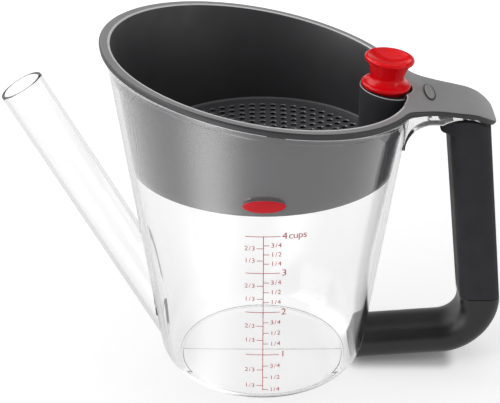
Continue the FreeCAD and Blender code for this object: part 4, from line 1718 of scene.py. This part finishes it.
    def under_arch(self, across: float, along: float, back: float, drop: float, share: float = 0.0) -> Vector:
        """Point of the sleeve's top.

        Args:
            across: Place across the grip's section.
            along: Place along it.
            back: How far it is moved in from the side.
            drop: How far it lies under the arch.
            share: Share of the way to the middle that it is moved as well.

        Returns:
            The point.
        """
        across -= self.lip_push(across, along, self.lip_height + 1.0)
        keep = max(1 - back / math.hypot(across, along), 0.0) * (1 - share)
        height = 134.0
        for _ in range(6):
            height = self.tab.grip_arch(self.at_height(across * keep, along * keep, height).x) - drop
        return self.at_height(across * keep, along * keep, height)

    def sleeve(self) -> Object:
        """Soft grip with an arched top and a small lip towards the jug.

        Returns:
            The solid.
        """
        section = rounded_section(*self.grip_size)
        seam, lip_low, lip_high = self.seam_height + self.seam_round, 127.5, 133.0
        rings = self.edge_rings(seam, self.seam_height + self.seam_gap)[::-1]
        heights = [mix(seam, lip_low, share) for share in shares(16)]
        heights += [mix(lip_low, lip_high, share) for share in shares(18, first=False)]
        rings += [[self.lipped(across, along, height) for across, along in section] for height in heights]
        arched = [(0.0, self.top_round + 0.05)] + quarter(self.top_round, 4)[::-1]
        arched += [(self.top_round, 0.0, share) for share in (0.12, 0.3, 0.5, 0.7, 0.88)]
        rings += [[self.under_arch(across, along, *place) for across, along in section] for place in arched]
        return skin("grip_cover", rings, crease=50.0)


# ---------------------------------------------------------------- badge and print


@dataclass
class Badge:
    """Blank red pad on the front of the jug."""

    form: JugForm
    length: float = 19.2
    height: float = 6.3
    middle: float = 119.65
    clearance: float = 0.12

    def ring(self, back: float, proud: float) -> Ring:
        """Outline of the pad or of its recess.

        Args:
            back: Distance in from the edge.
            proud: Distance out of the wall.

        Returns:
            The outline.
        """
        wide, high = self.length / 2 - back, self.height / 2 - back
        return [self.form.front(wide * math.cos(turn), self.middle + high * math.sin(turn), proud)
                for turn in around(96)]

    def build(self) -> Object:
        """Makes the pad, gently domed."""
        profile = ((0.0, -0.85), (0.0, 0.25), (0.08, 0.4), (0.25, 0.5), (0.6, 0.54), (1.4, 0.57), (2.6, 0.6))
        return skin("red_badge", [self.ring(back, proud) for back, proud in profile], crease=50.0)

    def recess(self) -> Object:
        """Hollow in the wall that the pad sits in."""
        return skin("badge_recess", [self.ring(-self.clearance, proud) for proud in (-1.0, 3.0)])


@dataclass(frozen=True)
class Mark:
    """One mark of the printed scale: its height, its reach to either side of the line, and its words."""

    height: float
    left: float
    right: float
    words: str
    size: float = 2.5


@dataclass
class CupScale:
    """Measuring scale printed on the front of the jug."""

    form: JugForm
    line_across: float = -0.2
    cup: float = 236588.0
    one_cup_height: float = 33.9
    ink_low: float = 0.02
    ink_proud: float = 0.06
    stroke: float = 0.36
    capital: float = 0.7

    def volume(self, height: float) -> float:
        """Volume of the inner cone up to a height, in cubic millimetres."""
        wide, narrow = self.form.radius(height, self.form.inside), self.form.radius(0.0, self.form.inside)
        return math.pi * (wide**3 - narrow**3) / (3 * self.form.flare)

    def height_of(self, cups: float) -> float:
        """Height of a mark, found by halving.

        Args:
            cups: Number of cups.

        Returns:
            Its height on the wall.
        """
        target = self.volume(self.one_cup_height) + (cups - 1) * self.cup
        low, high = 0.0, 140.0
        for _ in range(40):
            middle = (low + high) / 2
            low, high = (middle, high) if self.volume(middle) < target else (low, middle)
        return low

    def marks(self) -> list[Mark]:
        """Every mark, a cup at a time from the top.

        Returns:
            The marks.
        """
        found = []
        for cups in (4, 3, 2, 1):
            words = "4 cups" if cups == 4 else str(cups)
            found.append(Mark(self.height_of(cups), 8.0, 7.5, words, 3.6))
            for part, left, right, words in ((3 / 4, 0.0, 2.5, "3/4"), (1 / 2, 0.0, 2.5, "1/2"),
                                             (1 / 4, 0.0, 2.5, "1/4"), (2 / 3, 2.9, 0.0, "2/3"),
                                             (1 / 3, 2.9, 0.0, "1/3")):
                found.append(Mark(self.height_of(cups - 1 + part), left, right, words))
        return found

    def strip(self, shape: bmesh.types.BMesh, left: float, right: float, low: float, high: float) -> None:
        """Adds a thin printed bar that follows the wall.

        Args:
            shape: Mesh that it goes into.
            left: Its left side, from the scale's line.
            right: Its right side.
            low: Its lower edge.
            high: Its upper edge.
        """
        columns, rows = max(int((right - left) / 2.0), 1), max(int((high - low) / 8.0), 1)
        grid = [[[shape.verts.new(self.form.front(self.line_across + mix(left, right, i / columns),
                                                  mix(low, high, j / rows), proud))
                  for i in range(columns + 1)] for j in range(rows + 1)]
                for proud in (self.ink_low, self.ink_proud)]
        for layer in grid:
            for near, far in zip(layer, layer[1:]):
                for i in range(columns):
                    shape.faces.new((near[i], near[i + 1], far[i + 1], far[i]))
        border = [(0, i) for i in range(columns)] + [(j, columns) for j in range(rows)]
        border += [(rows, i) for i in range(columns, 0, -1)] + [(j, 0) for j in range(rows, 0, -1)]
        for (j, i), (next_j, next_i) in zip(border, border[1:] + border[:1]):
            shape.faces.new((grid[0][j][i], grid[0][next_j][next_i], grid[1][next_j][next_i], grid[1][j][i]))

    def lettering(self, mark: Mark) -> bpy.types.Mesh:
        """Words of a mark as a mesh that follows the wall.

        Args:
            mark: The mark; its words stand on the right unless it reaches to the left alone.

        Returns:
            The mesh, in millimetres.
        """
        to_left = mark.right == 0.0
        across = self.line_across + (-mark.left - 0.8 if to_left else mark.right + 0.8)
        curve = bpy.data.curves.new(mark.words, "FONT")
        curve.body = mark.words
        curve.size = mark.size / self.capital
        curve.align_x = "RIGHT" if to_left else "LEFT"
        curve.align_y = "CENTER"
        curve.space_character = 1.12 if mark.size < 3.0 else 0.92
        curve.space_word = 0.5
        curve.extrude = 0.02
        curve.resolution_u = 3
        holder = bpy.data.objects.new(mark.words, curve)
        bpy.context.scene.collection.objects.link(holder)
        graph = bpy.context.evaluated_depsgraph_get()
        mesh = bpy.data.meshes.new_from_object(holder.evaluated_get(graph), depsgraph=graph)
        bpy.data.objects.remove(holder)
        for vert in mesh.vertices:
            x, y, z = vert.co
            vert.co = self.form.front(across + x, mark.height + y, self.ink_proud - 0.02 + z)
        return mesh

    def build(self) -> Object:
        """Makes the whole print as one piece.

        Returns:
            The print.
        """
        shape = bmesh.new()
        marks = self.marks()
        half = self.stroke / 2
        lowest = self.height_of(1 / 4)
        self.strip(shape, -half, half, lowest, marks[0].height)
        for mark in marks:
            self.strip(shape, -mark.left - half, mark.right + half, mark.height - half, mark.height + half)
            mesh = self.lettering(mark)
            shape.from_mesh(mesh)
            bpy.data.meshes.remove(mesh)
        bmesh.ops.remove_doubles(shape, verts=shape.verts, dist=0.0005)
        return finished(shape, "cup_scale", 30.0)


# ---------------------------------------------------------------- studio


@dataclass(frozen=True)
class Lamp:
    """Soft rectangular lamp, in metres and watts, aimed at the middle of the object."""

    name: str
    place: tuple[float, float, float]
    size: Pair
    power: float

    def light(self) -> None:
        """Puts the lamp in the scene."""
        data = bpy.data.lights.new(self.name, "AREA")
        data.shape = "RECTANGLE"
        data.size, data.size_y = self.size
        data.energy = self.power
        lamp = bpy.data.objects.new(self.name, data)
        lamp.location = self.place
        aim = Vector((0.0, 0.0, 0.08)) - Vector(self.place)
        lamp.rotation_euler = aim.to_track_quat("-Z", "Y").to_euler()
        bpy.context.scene.collection.objects.link(lamp)


@dataclass
class Studio:
    """Pale floor, plain soft light and the camera, in metres.

    A passage is where it starts and ends, and the value before it and after it.
    """

    camera_place: Vector = field(default_factory=lambda: Vector((-5.574, -637.791, 425.068)) * MM)
    camera_turn: tuple[float, float, float] = (62.095, 0.0, 0.068)
    lens: float = 106.04
    sensor: float = 36.0
    floor_half: float = 1500.0
    sky: float = 0.352
    # Place and reach of a contact shadow painted on the floor round the handle's lower arm, where the glow is
    # taken down.
    arm_middle: float = 0.07
    arm_half: Pair = (0.02, 0.009)
    arm_shade: Passage = (0.002, 0.0105, 0.36, 0.0)
    floor_glow: Passage = (0.1, 0.9, 0.43, 0.85)
    # Extra glow on the floor seen through the jug, stronger to the right: painted light over the strainer's
    # shadow.
    jug_glow_edge: Passage = (0.05, 0.075, 1.0, 0.0)
    jug_glow_right: Passage = (-0.035, 0.0, 0.0, 0.18)
    floor_sides: Passage = (0.14, 0.42, 0.0, 0.22)
    streak_way: Colour = (-0.63, -0.777, 0.0)
    streak_narrowness: float = 18.0
    streak_strength: float = 1.7
    floor_mirrored: float = 0.66
    floor_behind: Passage = (-0.1, 0.15, 1.0, 1.35)
    backdrop_sides: Passage = (0.35, 0.8, 0.88, 0.64)
    backdrop_height: Passage = (0.08, 0.42, 0.88, 0.1)
    box_way: Colour = (-0.7, 0.33, 0.63)
    box_edge: Passage = (0.85, 0.97, 0.0, 3.6)
    lamps: tuple[Lamp, ...] = (Lamp("key", (-0.95, -0.45, 0.62), (0.8, 0.9), 6.8),
                               Lamp("top", (0.1, 0.25, 1.0), (1.1, 0.9), 2.0),
                               Lamp("side", (0.9, -0.35, 0.5), (0.3, 0.7), 1.3))

    def camera(self) -> None:
        """Sets the camera where the object is seen from."""
        data = bpy.data.cameras.new("camera")
        data.lens = self.lens
        data.sensor_width = self.sensor
        camera = bpy.data.objects.new("camera", data)
        camera.location = self.camera_place
        camera.rotation_euler = [math.radians(angle) for angle in self.camera_turn]
        bpy.context.scene.collection.objects.link(camera)
        bpy.context.scene.camera = camera

    def paper(self) -> Material:
        """White paper that keeps the object's shadow.

        Seen directly or through the clear plastic, it glows towards white away from the shadows, less so
        close to the handle's lower arm, which paints a contact shadow there. Seen through the plastic it
        glows more under the jug's right side, a pool of painted light over the strainer's shadow, it is
        darker far to either side, and mirrors see it at a brightness of its own.

        Returns:
            The material.
        """
        shader = Shader("studio_white")
        total, fade = shader.sum, shader.fade
        path = shader.node("ShaderNodeLightPath").outputs
        through = path["Is Transmission Ray"]
        x, y, _ = shader.parts(shader.place)
        away = shader.vector("DISTANCE", shader.place, (0, 0, 0), "Value")

        # Painted contact shadow: the glow is taken down close to the handle's lower arm.
        from_arm = total("ABSOLUTE", total("SUBTRACT", x, self.arm_middle))
        past_arm = total("MAXIMUM", total("SUBTRACT", from_arm, self.arm_half[0]), 0.0)
        beside_arm = total("MAXIMUM", total("SUBTRACT", total("ABSOLUTE", y), self.arm_half[1]), 0.0)
        squares = [total("MULTIPLY", side, side) for side in (past_arm, beside_arm)]
        painted_arm_shadow = fade(total("SQRT", total("ADD", *squares)), *self.arm_shade)
        lit_up = total("SUBTRACT", fade(away, *self.floor_glow), painted_arm_shadow)
        shown = total("MULTIPLY", total("MAXIMUM", path["Is Camera Ray"], through), lit_up)
        # Painted light: the floor seen through the jug is lifted under its right side, over the strainer's
        # shadow.
        painted_light_under_jug = total("MULTIPLY", fade(away, *self.jug_glow_edge), fade(x, *self.jug_glow_right))
        strength = total("ADD", shown, total("MULTIPLY", painted_light_under_jug, through))

        fibre = shader.tones(shader.noise(300.0), (0.86, 0.86, 0.86), (0.88, 0.88, 0.88))
        paper = shader.node("ShaderNodeBsdfDiffuse", {"Color": fibre}).outputs[0]
        lit = shader.node("ShaderNodeAddShader", {0: paper, 1: shader.glow("Emission", strength)}).outputs[0]
        beside = fade(total("ABSOLUTE", x), *self.floor_sides)
        seen = shader.mixed(total("MULTIPLY", beside, through), lit, shader.glow("Emission", 0.0))

        direction = shader.vector("NORMALIZE", shader.place, (0, 0, 0))
        towards = shader.vector("DOT_PRODUCT", direction, self.streak_way, "Value")
        narrow = total("POWER", total("MAXIMUM", towards, 0.0), self.streak_narrowness)
        bright = total("ADD", total("MULTIPLY", narrow, self.streak_strength), self.floor_mirrored)
        mirrored = total("MULTIPLY", bright, fade(y, *self.floor_behind))
        reflected = total("GREATER_THAN", path["Glossy Depth"], 0.5)
        return shader.close(Surface=shader.mixed(reflected, seen, shader.glow("Emission", mirrored)))

    def floor(self) -> None:
        """Lays the floor."""
        shape = bmesh.new()
        half = self.floor_half
        corners = ((-half, -half), (half, -half), (half, half), (-half, half))
        shape.faces.new([shape.verts.new((x, y, -0.05)) for x, y in corners])
        floor = finished(shape, "studio_floor")
        dress(floor, [self.paper()])

    def world(self) -> None:
        """Even light all round; rays that look at it see white that is darker beside the object."""
        world = bpy.data.worlds.new("studio")
        world.use_nodes = True
        bpy.context.scene.world = world
        wires = Wiring(world.node_tree)
        wires.tree.nodes.clear()
        path = wires.node("ShaderNodeLightPath").outputs
        way = wires.node("ShaderNodeTexCoord").outputs["Generated"]
        x, _, z = wires.parts(way)
        beside = wires.fade(wires.sum("ABSOLUTE", x), *self.backdrop_sides)
        low = wires.fade(z, *self.backdrop_height)
        box = wires.fade(wires.vector("DOT_PRODUCT", way, self.box_way, "Value"), *self.box_edge)
        reflected = wires.sum("GREATER_THAN", path["Glossy Depth"], 0.5)
        seen = wires.glow("Background", self.sky)
        for choice, strength in ((path["Is Camera Ray"], 1.0), (path["Is Transmission Ray"], beside),
                                 (reflected, wires.sum("ADD", low, box)), (path["Is Diffuse Ray"], self.sky)):
            seen = wires.mixed(choice, seen, wires.glow("Background", strength))
        wires.node("ShaderNodeOutputWorld", {"Surface": seen})

    def build(self) -> None:
        """Sets up the camera, floor and light."""
        bpy.context.scene.view_settings.view_transform = "Standard"
        self.camera()
        self.floor()
        self.world()
        for lamp in self.lamps:
            lamp.light()


# ---------------------------------------------------------------- assembly


def fit(piece: Object, part: Part, finish: Material | None = None,
        stands_for: Sequence[str] = ()) -> None:
    """Dresses a piece and ties it to the model.

    Args:
        piece: The finished mesh object.
        part: Body that it rides on.
        finish: Its material; none keeps those that it has.
        stands_for: Model's nodes that it replaces.
    """
    if finish:
        dress(piece, [finish])
    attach(piece, part.value)
    if stands_for:
        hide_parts(*stands_for)
    LOG.info("%s: %d faces, on %s", piece.name, len(piece.data.polygons), part.value)


def main() -> None:
    """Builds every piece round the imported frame."""
    logging.basicConfig(level=logging.INFO, format="%(name)s: %(message)s")
    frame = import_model()

    form = JugForm()
    tab = ThumbTab(form)
    badge = Badge(form)
    jug = ClearJug(form, tab)
    fit(jug.build(badge.recess()), Part.JUG, ClearPlastic().make(),
        ("jug_body", "spout_tube", "grip_bracket"))

    # The strainer's tones paint its light and shade; the band's tone also paints the highlight round the
    # plate's holes.
    band = BAND.make()
    basket = Strainer(form, tab).build([INSIDE.make(), TOP.make(), band, EDGE.make()])
    fit(basket, Part.STRAINER, stands_for=("strainer_basket",))
    plate = PerforatedFloor().build([PLATE.make(), band, HOLE_SHADE.make()])
    fit(plate, Part.STRAINER, stands_for=("strainer_floor",))
    fit(Stopper().build(), Part.STOPPER, SILICONE.make(), ("stopper",))

    handle = Handle(form, tab)
    fit(handle.arm(), Part.JUG, ARM.make(), ("handle_frame",))
    fit(handle.sleeve(), Part.JUG, GRIP.make(), ("grip_sleeve",))
    fit(badge.build(), Part.JUG, BADGE_RED.make(), ("front_badge",))
    fit(CupScale(form).build(), Part.JUG, INK.make())

    screw = frame["nodes"]["bracket_screw"]
    screw.data.materials.clear()
    dress(screw, [TurnedSteel("screw_steel", jug.screw_x).make()])

    Studio().build()


if __name__ == "__main__":
    main()
